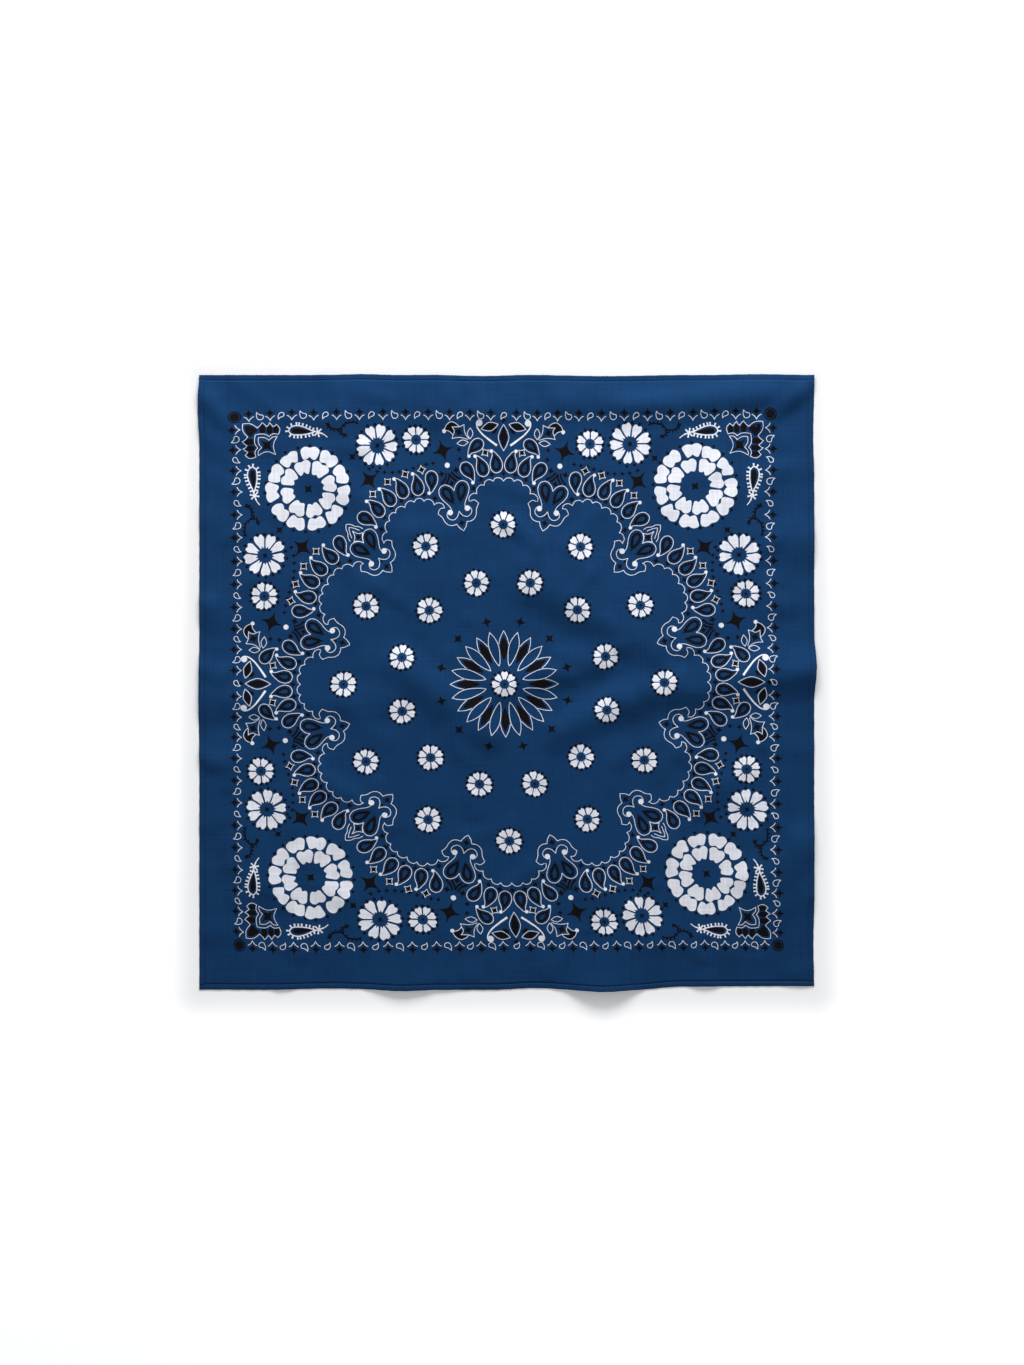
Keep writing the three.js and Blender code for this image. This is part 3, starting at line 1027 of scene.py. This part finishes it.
crescent_top = joined([(40.9, 230.5), (44.2, 233.5), (48.6, 234.8), (53.0, 231.9), (55.1, 227.3)])
crescent_low = joined([(54.2, 227.1), (51.4, 226.9), (46.8, 223.3)])
side_white = both([
    ribbon(curl_bar, (2.0, 0.9)), filled(disc(2.9, (22.5, 234.3))),
    ribbon(low_leaf, ring=True), ribbon(sprig_leaf_up, ring=True),
    ribbon(sprig_leaf_out, ring=True), ribbon(tulip_left), ribbon(crescent_top),
    ribbon(crescent_low), filled(disc(1.8, (55.1, 226.7))),
]) + [ribbon(tall_leaf, ring=True)]
crescent = closed([(42.2, 231.3), (45.0, 233.1), (48.5, 233.8), (52.4, 231.3), (54.0, 227.9)],
                  [(54.0, 227.9), (51.0, 227.8), (47.4, 224.9)],
                  [(47.4, 224.9), (46.9, 226.7), (49.1, 231.3)],
                  [(49.1, 231.3), (42.2, 231.3)])
side_black = both([
    filled(pointed_leaf(13.2, 5.2, (12.9, 231.0), 75)),
    filled(pointed_leaf(7.2, 3.4, (8.2, 227.3), -135)),
    filled(star(4.7, (41.4, 226.0), 20, body=0.12)), filled(crescent),
]) + [filled(pointed_leaf(19.2, 6.6, (0, 221.8))), filled(star(2.9, (0, 236.9)))]
plate("side crest", white=side_white, black=side_black)

# %% The corner crest, drawn inward from the corner
lotus_side = [
    [(0, 0), (7.4, 0.2), (13.3, 4.5)],
    [(13.3, 4.5), (16.2, 2.2), (18.2, -0.7)],
    [(18.2, -0.7), (20.2, 1.0), (22.2, 3.6)],
    [(22.2, 3.6), (23.9, 2.2), (25.2, -0.3)],
    [(25.2, -0.3), (26.9, 1.6), (28.5, 4.0)],
    [(28.5, 4.0), (30.2, 3.0), (31.6, 1.6)],
    [(31.6, 1.6), (34.9, 6.0), (33.4, 11.8)],
    [(33.4, 11.8), (28.4, 11.0), (24.6, 13.6)],
    [(24.6, 13.6), (20.2, 11.0), (15.0, 10.9), (11.6, 11.6)],
]
lotus = joined(*lotus_side)
lotus_ring = np.vstack([lotus, lotus[:, ::-1][::-1][1:]])[:-1]
hollow_tile = closed(
    [(31.8, 30.6), (28.6, 22.0), (32.2, 14.0)],
    [(32.2, 14.0), (28.6, 14.0), (24.6, 17.4)],
    [(24.6, 17.4), (19.6, 14.4), (14.4, 14.4)],
    [(14.4, 14.4), (14.4, 19.6), (17.4, 24.6)],
    [(17.4, 24.6), (14.0, 28.6), (14.0, 32.2)],
    [(14.0, 32.2), (22.0, 28.6), (31.8, 30.6)])
outer_ogive = closed([(2.1, 2.1), (7.0, 2.4), (14.0, 7.2)], [(14.0, 7.2), (10.1, 10.1)],
                     [(10.1, 10.1), (7.2, 14.0)], [(7.2, 14.0), (2.4, 7.0), (2.1, 2.1)])
small_ogives = []
for x, y, height, width in ((18.3, 5.7, 9.2, 5.8), (25.1, 6.3, 8.8, 5.4), (30.9, 6.8, 7.9, 4.8)):
    side = [(0, -height / 2), (width * 0.4, -height * 0.22), (width / 2, height * 0.12),
            (width * 0.3, height / 2)]
    other_side = flipped(side)
    small_ogives.append(moved(closed(side, [side[-1], other_side[0]], other_side), (x, y)))
corner_black = [filled(outer_ogive), filled(star(8.3, (22.3, 22.3), 45, body=0.03))]
corner_black += [filled(shape) for shape in small_ogives]
corner_black += [filled(shape[:, ::-1]) for shape in small_ogives]
plate("corner crest", white=[ribbon(lotus_ring, ring=True), ribbon(hollow_tile, ring=True)],
      black=corner_black)
print("crests drawn")

# %% Fringed pods and sprigs beside the corner crest
FINGER_PITCH = 3.05
FINGER_LENGTH = 3.0
pod_line = closed([(12.6, -1.6), (8.0, 0.9), (2.0, 3.4), (-4.0, 4.3), (-8.4, 2.7), (-9.9, -0.3),
                   (-7.8, -3.0), (-2.0, -4.0), (5.6, -3.4), (12.6, -1.6)])
finger_path = np.vstack([pod_line, pod_line[:1]])
finger_steps = np.concatenate([[0], np.cumsum(np.linalg.norm(np.diff(finger_path, axis=0), axis=1))])
fingers = []
mitres = outward(pod_line, True)
for distance in np.arange(1.6, finger_steps[-1] - 1.0, FINGER_PITCH):
    i = min(np.searchsorted(finger_steps, distance), len(pod_line) - 1)
    way = -mitres[i] / np.linalg.norm(mitres[i])
    fingers.append(ribbon(np.array([pod_line[i], pod_line[i] + way * FINGER_LENGTH]), (1.05, 1.6)))
tuft = (15.8, -1.9)
cluster = []
for k in range(6):
    ray_end = moved([[0, 4.3]], tuft, 60 * k + 12)[0]
    cluster.append(ribbon(np.array([tuft, ray_end]), (0.9, 1.5)))
pod_white = [ribbon(pod_line, 1.0, ring=True)] + fingers + cluster + [filled(disc(1.7, tuft))]
pod_white += [ribbon(smooth([tuft, (20.4, -3.6), (24.2, -6.4)]), (1.0, 0.8))]
pod_seed = closed([(10.2, -1.5), (4.0, 0.6), (-3.0, 2.0), (-6.8, 0.8), (-6.9, -1.2), (-3.0, -2.4),
                   (4.0, -2.3), (10.2, -1.5)])
plate("pod", white=pod_white, black=[filled(pod_seed)])

stem = smooth([(14.1, 4.8), (12.4, 2.9), (9.2, 1.2), (5.4, 1.0), (2.7, 1.8), (-0.2, 5.1), (-3.2, 6.3),
               (-7.4, 6.9), (-10.6, 6.7), (-13.3, 5.6)])
branch = smooth([(2.7, 1.8), (2.7, -1.0), (1.9, -3.0), (-1.0, -3.6)])
stem_leaves = []
for path, tips in ((stem, np.arange(2, len(stem) - 1, 3)), (branch, np.arange(3, len(branch), 2))):
    for i in tips:
        way = (path[i] - path[i - 1]) / np.linalg.norm(path[i] - path[i - 1])
        side = np.array([-way[1], way[0]]) * (1 if path[i][0] > 0 or path is branch else -1)
        root, end = path[i], path[i] + side * 2.5
        stem_leaves.append(filled([root - way * 0.8, end - way * 0.5, end + way * 0.5, root + way * 0.8]))
tufts = [filled(star(2.9, (14.3, 5.4), 20)), filled(star(2.4, (-1.6, -4.6), 20))]
plate("sprig", black=[ribbon(stem, 1.35), ribbon(branch, 1.3)] + stem_leaves + tufts)
print("pod:", len(fingers), "fingers; sprig:", len(stem_leaves), "leaves")

# %% The border's darts and drops
BORDER_INK = 0.56        # width of the border's white lines
dart_arm = [(-4.3, 0.1), (-2.4, -0.9), (-0.9, -2.5), (0, -4.2)]
plate("dart", white=[ribbon(joined(dart_arm, flipped(dart_arm), step=0.8), BORDER_INK)],
      black=[filled(star(4.4, (0, 2.8), body=0.1))])
leaning_drop = closed([(-2.1, -3.3), (-2.4, -0.3), (-1.1, 2.2), (0.9, 2.9), (2.6, 1.8), (2.5, -0.1),
                       (0.7, -1.2), (-1.1, -1.8), (-2.1, -3.3)], step=0.8)
tipped_drop = closed([(-2.3, 3.8), (-0.8, 2.3), (0.6, 1.4)], [(0.6, 1.4), (2.8, 1.0), (3.2, -1.2),
                     (1.2, -3.0), (-1.3, -2.6), (-2.5, -0.2), (-2.3, 3.8)], step=0.8)
plate("leaning drop", white=[ribbon(leaning_drop, BORDER_INK, ring=True)])
plate("tipped drop", white=[ribbon(tipped_drop, BORDER_INK, ring=True)])
print("plates cut:", len(plate_numbers))

# %% [markdown]
# The layout.
# The print is square and symmetric, so it is set out by turning and mirroring: what is in one eighth
# is printed eight times, what is on an axis four times, and what belongs to the medallion twelve
# times. Only the border's small drops keep leaning the same way round. Distances are in millimetres
# from the centre of the print, with the top side up.

# %% Setting out by symmetry
marks = []


def mark(name, u, v, turn=0.0, mirror=False, size=1.0):
    marks.append((plate_numbers[name], u, v, turn, -1.0 if mirror else 1.0, size))


def four(name, u, v, turn=0.0, mirror=False, size=1.0):
    """The same on each of the four sides."""
    for quarter in range(4):
        at = moved([[u, v]], turn=90 * quarter)[0]
        mark(name, at[0], at[1], turn + 90 * quarter, mirror, size)


def eight(name, u, v, turn=0.0, mirror=False, size=1.0):
    """The same on each side, and mirrored."""
    four(name, u, v, turn, mirror, size)
    four(name, -u, v, -turn, not mirror, size)


# %% The medallion
TURNED_IN = 0.35         # degrees by which its parts lie nearer the middles of the sides

mark("rosette", 0, 0)
mark("small blossom 0", 0, 0, size=0.94)
for k in range(12):
    nearer = TURNED_IN * (1 - (k + 1) % 3)
    mark("lobe", 0, 0, 30 * k + nearer)
    mark("heart", 0, 0, 30 * k + 15 + TURNED_IN * (k % 3 - 1))
    mark("flame" if k % 3 == 1 else "rays", 0, 0, 30 * k + 15 + TURNED_IN / 2 * (k % 3 - 1))
    ring_radius = 143.8 if k % 3 else 144.9
    for variant, (radius, turn) in enumerate(((ring_radius, 30 * k + nearer), (95.6, 30 * k + 15))):
        at = moved([[0, radius]], turn=turn)[0]
        mark(f"small blossom {(k + 2 * variant) % 3}", at[0], at[1], 37 * k + 11 * variant, size=0.94)

# Each drop: its middle, the way to its tail, and whether its plate is mirrored
DROP_TAIL = 110.0        # the way to the tail on the plate itself, from its right
DROPS = [
    ((6.7, 197.2), (4.6, 12.0), True),
    ((19.2, 193.7), (7.2, 11.3), True),
    ((34.2, 193.8), (-6.0, -12.2), False),
    ((66.5, 185.3), (2.0, -12.7), False),
    ((79.0, 176.4), (5.1, 12.7), True),
    ((92.9, 173.5), (8.0, 10.8), True),
    ((104.3, 166.3), (9.8, 8.7), True),
    ((114.7, 156.4), (10.2, 7.4), True),
    ((127.6, 149.7), (-9.8, -7.2), False),
]
for (u, v), tail, mirror in DROPS:
    way = math.degrees(math.atan2(tail[1], tail[0]))
    eight("drop", u, v, way - (180 - DROP_TAIL if mirror else DROP_TAIL), mirror)
print("marks in the medallion:", len(marks))

# %% The sides and corners
SMALL_STAR = 6.0         # half size up to which a star has the fuller small plate


def stars(rows):
    """Black stars in every eighth: place, half size and turn."""
    for u, v, half, turn in rows:
        kind = "star" if half > SMALL_STAR else "small star"
        eight(kind, u, v, turn, size=half / STAR_PLATE)


four("side crest", 0, 0)
way = math.degrees(math.atan2(-9.8, 7.4))
eight("drop", 24.4, 215.1, way - (180 - DROP_TAIL), True, 0.95)
four("middle blossom", 116.4, 216.2, 12)
four("middle blossom", -116.4, 213.5, -12, True)
four("small blossom 1", 79.8, 216.4, 20)
four("small blossom 1", -80.9, 218.9, -20, True)
four("great blossom", 175.2, 178.4, 6)
stars([(56.4, 209.8, 10.2, -18), (41.3, 210.8, 2.9, 0), (40.4, 202.5, 2.9, 0),
       (123.7, 183.2, 10.2, 53), (139.0, 203.6, 4.2, 45)])
PLUS_PLACES = [(65.2, 198.4), (71.5, 197.4), (77.7, 196.1), (83.4, 194.0), (89.7, 192.0),
               (96.2, 190.6), (102.4, 190.0), (109.6, 190.1), (116.3, 190.6), (123.5, 192.9)]
stars([(u, v, 2.6, 0) for u, v in PLUS_PLACES])
for u, v, turn in ((17.0, 208.4, 10), (120.1, 170.7, 0), (106.8, 181.7, 0), (90.8, 188.5, 12),
                   (75.7, 192.6, 30)):
    eight("tile", u, v, turn)
four("corner crest", 235.0, 235.0, 180, size=0.91)
four("corner disc", 241.6, 241.6)
eight("pod", 185.6, 227.5, 0, True)
eight("sprig", 146.6, 227.1)

# %% The border
BORDER_LINE = 240.6
BORDER_END = 180          # from here to the corners it lies a little further out
BORDER_RISE = 0.7
DART_PLACES = [11.9, 31.2, 49.9, 69.6, 90.4, 111.1, 132.4, 152.8, 173.3, 192.5, 211.4, 229.6]
dart_line = [-u for u in DART_PLACES[::-1]] + DART_PLACES


def border_line(u):
    return BORDER_LINE + BORDER_RISE * (abs(u) > BORDER_END)


for u in dart_line:
    four("dart", u, border_line(u))
for k, (u, after) in enumerate(zip(dart_line, dart_line[1:])):
    middle = (u + after) / 2
    kind = "leaning drop" if k % 2 else "tipped drop"
    four(kind, middle, border_line(middle))
print("marks in all:", len(marks))

# %% [markdown]
# Printing.
# Geometry Nodes print each screen in one go: the plates are put on the marks, moved as the real cloth
# moved under the photograph's camera, dropped straight down onto the cloth, and raised by the film of
# the ink. The white goes on over the black. A bump or a colour mask in the cloth's material could hold
# the print too, but its edges would be as coarse as the picture it is baked to.

# %% The tree that prints
PRINT_REACH = 242.5      # from the centre of the print to its border
DROP_FROM = 0.1          # metres over the surface

# How far the print lies from square, in mm: row i and column j are for across^i times up^j, with
# both counted from the centre, 1 at the border
WARP_ACROSS = [
    [-2.23, -4.81, 4.48, 1.13, 0.87, -2.53],
    [0.89, -7.75, -0.82, 1.92, 1.46],
    [-3.17, 7.48, -5.03, 1.04],
    [1.83, 5.23, -1.29],
    [3.83, -5.29],
    [0.67],
]
WARP_UP = [
    [-1.51, -3.14, 3.75, 5.01, -0.67, -1.53],
    [1.30, -1.67, -6.13, -0.28, 4.54],
    [1.81, 3.04, -1.01, -1.59],
    [0.92, 2.77, 1.72],
    [-0.53, -2.50],
    [-1.62],
]


def polynomial(tree, value, terms):
    """The sum of the terms, each times one more power of value, worked from the highest down."""
    total = terms[-1]
    for term in terms[-2::-1]:
        step = add(tree, "ShaderNodeMath", {0: value, 1: total, 2: term}, operation="MULTIPLY_ADD")
        total = step.outputs[0]
    return total


tree, given, made = new_tree("print on cloth", [
    ("Screen", "NodeSocketCollection"),
    ("Cloth", "NodeSocketObject"),
    ("Ink", "NodeSocketMaterial"),
    ("Film", "NodeSocketFloat"),
    ("Reach", "NodeSocketFloat"),
    ("Map size", "NodeSocketFloat"),
])
plates = add(tree, "GeometryNodeCollectionInfo",
             {"Collection": given["Screen"], "Separate Children": True, "Reset Children": True})
attribute = {}
for label, kind in (("plate", "INT"), ("turn", "FLOAT"), ("mirror", "FLOAT"), ("size", "FLOAT")):
    attribute[label] = add(tree, "GeometryNodeInputNamedAttribute", {"Name": label},
                           data_type=kind).outputs["Attribute"]
across = add(tree, "ShaderNodeMath", {0: attribute["mirror"], 1: attribute["size"]}, operation="MULTIPLY")
instances = add(tree, "GeometryNodeInstanceOnPoints", {
    "Points": given["Geometry"],
    "Instance": plates.outputs[0],
    "Pick Instance": True,
    "Instance Index": attribute["plate"],
    "Rotation": add(tree, "FunctionNodeEulerToRotation", {
        0: add(tree, "ShaderNodeCombineXYZ", {"Z": attribute["turn"]}).outputs[0]}).outputs[0],
    "Scale": add(tree, "ShaderNodeCombineXYZ", {
        "X": across.outputs[0], "Y": attribute["size"], "Z": 1.0}).outputs[0],
})
real = add(tree, "GeometryNodeRealizeInstances", {0: instances.outputs[0]})

# The cloth was a little askew when it was printed and laid
here = add(tree, "GeometryNodeInputPosition").outputs[0]
share = add(tree, "ShaderNodeVectorMath", {0: here, 1: given["Reach"]}, operation="DIVIDE")
flat = add(tree, "ShaderNodeSeparateXYZ", {0: share.outputs[0]}).outputs
offset = add(tree, "ShaderNodeCombineXYZ", {
    axis: polynomial(tree, flat["X"], [polynomial(tree, flat["Y"], row) for row in table])
    for axis, table in (("X", WARP_ACROSS), ("Y", WARP_UP))})
scaled = add(tree, "ShaderNodeVectorMath", {0: offset.outputs[0], "Scale": MM}, operation="SCALE")
leaning = add(tree, "GeometryNodeSetPosition", {0: real.outputs[0], "Offset": scaled.outputs[0]})

# Down onto the cloth
flat = add(tree, "ShaderNodeSeparateXYZ", {0: add(tree, "GeometryNodeInputPosition").outputs[0]})
above = add(tree, "ShaderNodeCombineXYZ", {"X": flat.outputs["X"], "Y": flat.outputs["Y"], "Z": DROP_FROM})
cloth = add(tree, "GeometryNodeObjectInfo", {"Object": given["Cloth"]}, transform_space="ORIGINAL")
hit = add(tree, "GeometryNodeRaycast", {
    "Target Geometry": cloth.outputs["Geometry"],
    "Source Position": above.outputs[0],
    "Ray Direction": (0.0, 0.0, -1.0),
    "Ray Length": 1.0,
})
film = add(tree, "ShaderNodeMath", {0: flat.outputs["Z"], 1: given["Film"]}, operation="ADD")
printed = add(tree, "GeometryNodeSetPosition", {
    0: leaning.outputs[0],
    "Position": hit.outputs["Hit Position"],
    "Offset": add(tree, "ShaderNodeCombineXYZ", {"Z": film.outputs[0]}).outputs[0],
})

# Mirrored plates face down, so their faces are turned, and each ink gets its map and its finish
facing = add(tree, "ShaderNodeSeparateXYZ", {0: add(tree, "GeometryNodeInputNormal").outputs[0]})
downward = add(tree, "FunctionNodeCompare", {"A": facing.outputs["Z"], "B": 0.0}, operation="LESS_THAN")
upright = add(tree, "GeometryNodeFlipFaces", {0: printed.outputs[0], "Selection": downward.outputs[0]})
spot = add(tree, "GeometryNodeInputPosition").outputs[0]
scaled = add(tree, "ShaderNodeVectorMath", {0: spot, 1: given["Map size"]}, operation="DIVIDE")
centred = add(tree, "ShaderNodeVectorMath", {0: scaled.outputs[0], 1: (0.5, 0.5, 0.0)}, operation="ADD")
mapped = add(tree, "GeometryNodeStoreNamedAttribute",
             {0: upright.outputs[0], "Name": "OFBake", "Value": centred.outputs[0]},
             data_type="FLOAT2", domain="CORNER")
inked = add(tree, "GeometryNodeSetMaterial", {0: mapped.outputs[0], "Material": given["Ink"]})
tree.links.new(inked.outputs[0], made.inputs[0])
print_tree = tree

# %% Printing the two inks
BLACK_FILM = 0.06
WHITE_FILM = 0.14


def marks_mesh():
    """One point for each mark, with its plate, turn, mirroring and size as attributes."""
    table = np.array(marks)
    mesh = bpy.data.meshes.new("marks")
    mesh.from_pydata([(u * MM, v * MM, 0.0) for u, v in table[:, 1:3]], [], [])
    columns = (("plate", "INT", table[:, 0]), ("turn", "FLOAT", np.radians(table[:, 3])),
               ("mirror", "FLOAT", table[:, 4]), ("size", "FLOAT", table[:, 5]))
    for label, kind, values in columns:
        mesh.attributes.new(label, kind, "POINT").data.foreach_set("value", values.astype(
            np.int32 if kind == "INT" else np.float32))
    return mesh


prints = {}
for ink, material, film in (("black", black_ink, BLACK_FILM), ("white", white_ink, WHITE_FILM)):
    sheet_of_marks = bpy.data.objects.new(f"{ink} marks", marks_mesh())
    bpy.context.scene.collection.objects.link(sheet_of_marks)
    use_tree(sheet_of_marks, print_tree, Screen=screens[ink], Cloth=panel, Ink=material, Film=film * MM,
             Reach=PRINT_REACH * MM, Map_size=SIDE * MM)
    prints[ink] = settled(sheet_of_marks, f"Print_{ink}")
    prints[ink].data.shade_smooth()
    print(ink, "print:", triangles(prints[ink]), "triangles")
for screen in screens.values():
    for plate_object in list(screen.objects):
        bpy.data.objects.remove(plate_object)
    bpy.data.collections.remove(screen)

# %% [markdown]
# Attaching the pieces.
# The cloth panel takes the place of its solid and each hem of its own, and those solids are hidden. The
# print and the stitches are new pieces that ride with them.

# %% Bodies, and the solids that are hidden
slots = [(panel, "printed_cotton"), (prints["white"], "white_ink"), (prints["black"], "black_ink"),
         (stitches, "hem_thread")] + [(hem, "hem_cotton") for hem in hems]
for obj, slot in slots:
    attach(obj, "root")
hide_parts("cloth_panel")
for hem, (node, _, _) in zip(hems, HEMS):
    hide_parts(node)

# %% [markdown]
# The studio.
# The photograph looks straight down on the cloth, with broad soft light from the top side that leaves a
# little shade below the folds. Its ground is pale grey beside the cloth and was whitened further out, so
# the floor is a matt sheet that glows more with its distance from the cloth. This glow is painted light:
# it leaves painted shade beside the cloth, and it glows more towards the bottom, away from the lamp. A
# lamp under the sheet or a picture of the ground would do the same, but this needs one number for the
# reach.

# %% Floor
FLOOR_SIZE = 8.0
# The floor's glow is painted light: low beside the cloth as painted shade, higher towards the bottom where
# the lamp's light falls off, and full from GLOW_REACH out
GLOW_NEAR = 0.09
GLOW_SLOPE = 0.38        # more of it for each metre towards the bottom, away from the light
GLOW_FAR = 0.5
GLOW_REACH = 40.0        # mm from the cloth, where the ground is white
floor_material, tree, coordinates = new_material("plain pale floor, matt paper")
grain = add(tree, "ShaderNodeTexNoise", {"Vector": coordinates, "Scale": 900.0})
folded = add(tree, "ShaderNodeVectorMath", {0: coordinates}, operation="ABSOLUTE")
past_edge = add(tree, "ShaderNodeVectorMath", {0: folded.outputs[0], 1: (HALF * MM, HALF * MM, 0.0)},
                operation="SUBTRACT")
beyond = add(tree, "ShaderNodeVectorMath", {0: past_edge.outputs[0], 1: (0.0, 0.0, 0.0)},
             operation="MAXIMUM")
distance = add(tree, "ShaderNodeVectorMath", {0: beyond.outputs[0]}, operation="LENGTH")
up = add(tree, "ShaderNodeSeparateXYZ", {0: coordinates}).outputs["Y"]
near = add(tree, "ShaderNodeMath", {0: up, 1: -GLOW_SLOPE, 2: GLOW_NEAR}, operation="MULTIPLY_ADD")
# Painted light: the floor glows less near the cloth, which paints the shade there
glow = add(tree, "ShaderNodeMapRange", {
    "Value": distance.outputs["Value"],
    "From Max": GLOW_REACH * MM,
    "To Min": near.outputs[0],
    "To Max": GLOW_FAR,
}, interpolation_type="SMOOTHSTEP")
paper = add(tree, "ShaderNodeBsdfPrincipled", {
    "Base Color": linear("#efefef"),
    "Roughness": 0.9,
    "Specular IOR Level": 0.1,
    "Emission Color": linear("#ffffff"),
    "Emission Strength": glow.outputs["Result"],
    "Normal": add(tree, "ShaderNodeBump", {"Height": grain.outputs["Fac"], "Strength": 0.05,
                                           "Distance": 0.1 * MM}).outputs[0],
})
finish(tree, paper.outputs[0])
corners = [(x * FLOOR_SIZE / 2, y * FLOOR_SIZE / 2, 0.0) for x, y in ((-1, -1), (1, -1), (1, 1), (-1, 1))]
floor = piece("Floor", corners, [(0, 1, 2, 3)], floor_material)

# %% Light
scene = bpy.context.scene
world = bpy.data.worlds.new("pale studio")
scene.world = world
world.use_nodes = True
background = world.node_tree.nodes["Background"]
background.inputs["Color"].default_value = linear("#f7f9ff")
background.inputs["Strength"].default_value = 0.3


def softbox(name, at, aim, size, power):
    lamp = bpy.data.lights.new(name, "AREA")
    lamp.shape = "RECTANGLE"
    lamp.size, lamp.size_y = size
    lamp.energy = power
    obj = bpy.data.objects.new(name, lamp)
    obj.location = at
    obj.rotation_euler = (Vector(aim) - Vector(at)).to_track_quat("-Z", "Y").to_euler()
    scene.collection.objects.link(obj)


softbox("softbox standing above the top edge", (0.1, 1.8, 0.85), (0, 0.0, 0), (2.0, 0.8), 66)
print("lights:", [lamp.name for lamp in bpy.data.lights])

# %% [markdown]
# The camera.
# It looks straight down with its top towards the top side of the cloth. The photograph's tall side is
# 1242 mm of the surface, and a 70 mm lens on a 36 mm sensor sees that much from 2.4 m. The cloth lies
# a few millimetres left of the picture's middle, so the camera stands as much to the right.

# %% Camera
LENS = 70.0
SENSOR = 36.0
VIEW_HEIGHT = 1.2422     # metres of the surface on the photograph's tall side
CAMERA_SIDE = 0.0046     # of the photograph's middle from the middle of the cloth
camera_data = bpy.data.cameras.new("camera")
camera_data.lens = LENS
camera_data.sensor_width = SENSOR
camera = bpy.data.objects.new("camera", camera_data)
camera.location = (CAMERA_SIDE, 0.0, VIEW_HEIGHT * LENS / SENSOR)
scene.collection.objects.link(camera)
scene.camera = camera
scene.view_settings.view_transform = "Standard"
print("camera height:", round(camera.location.z, 3), "m")
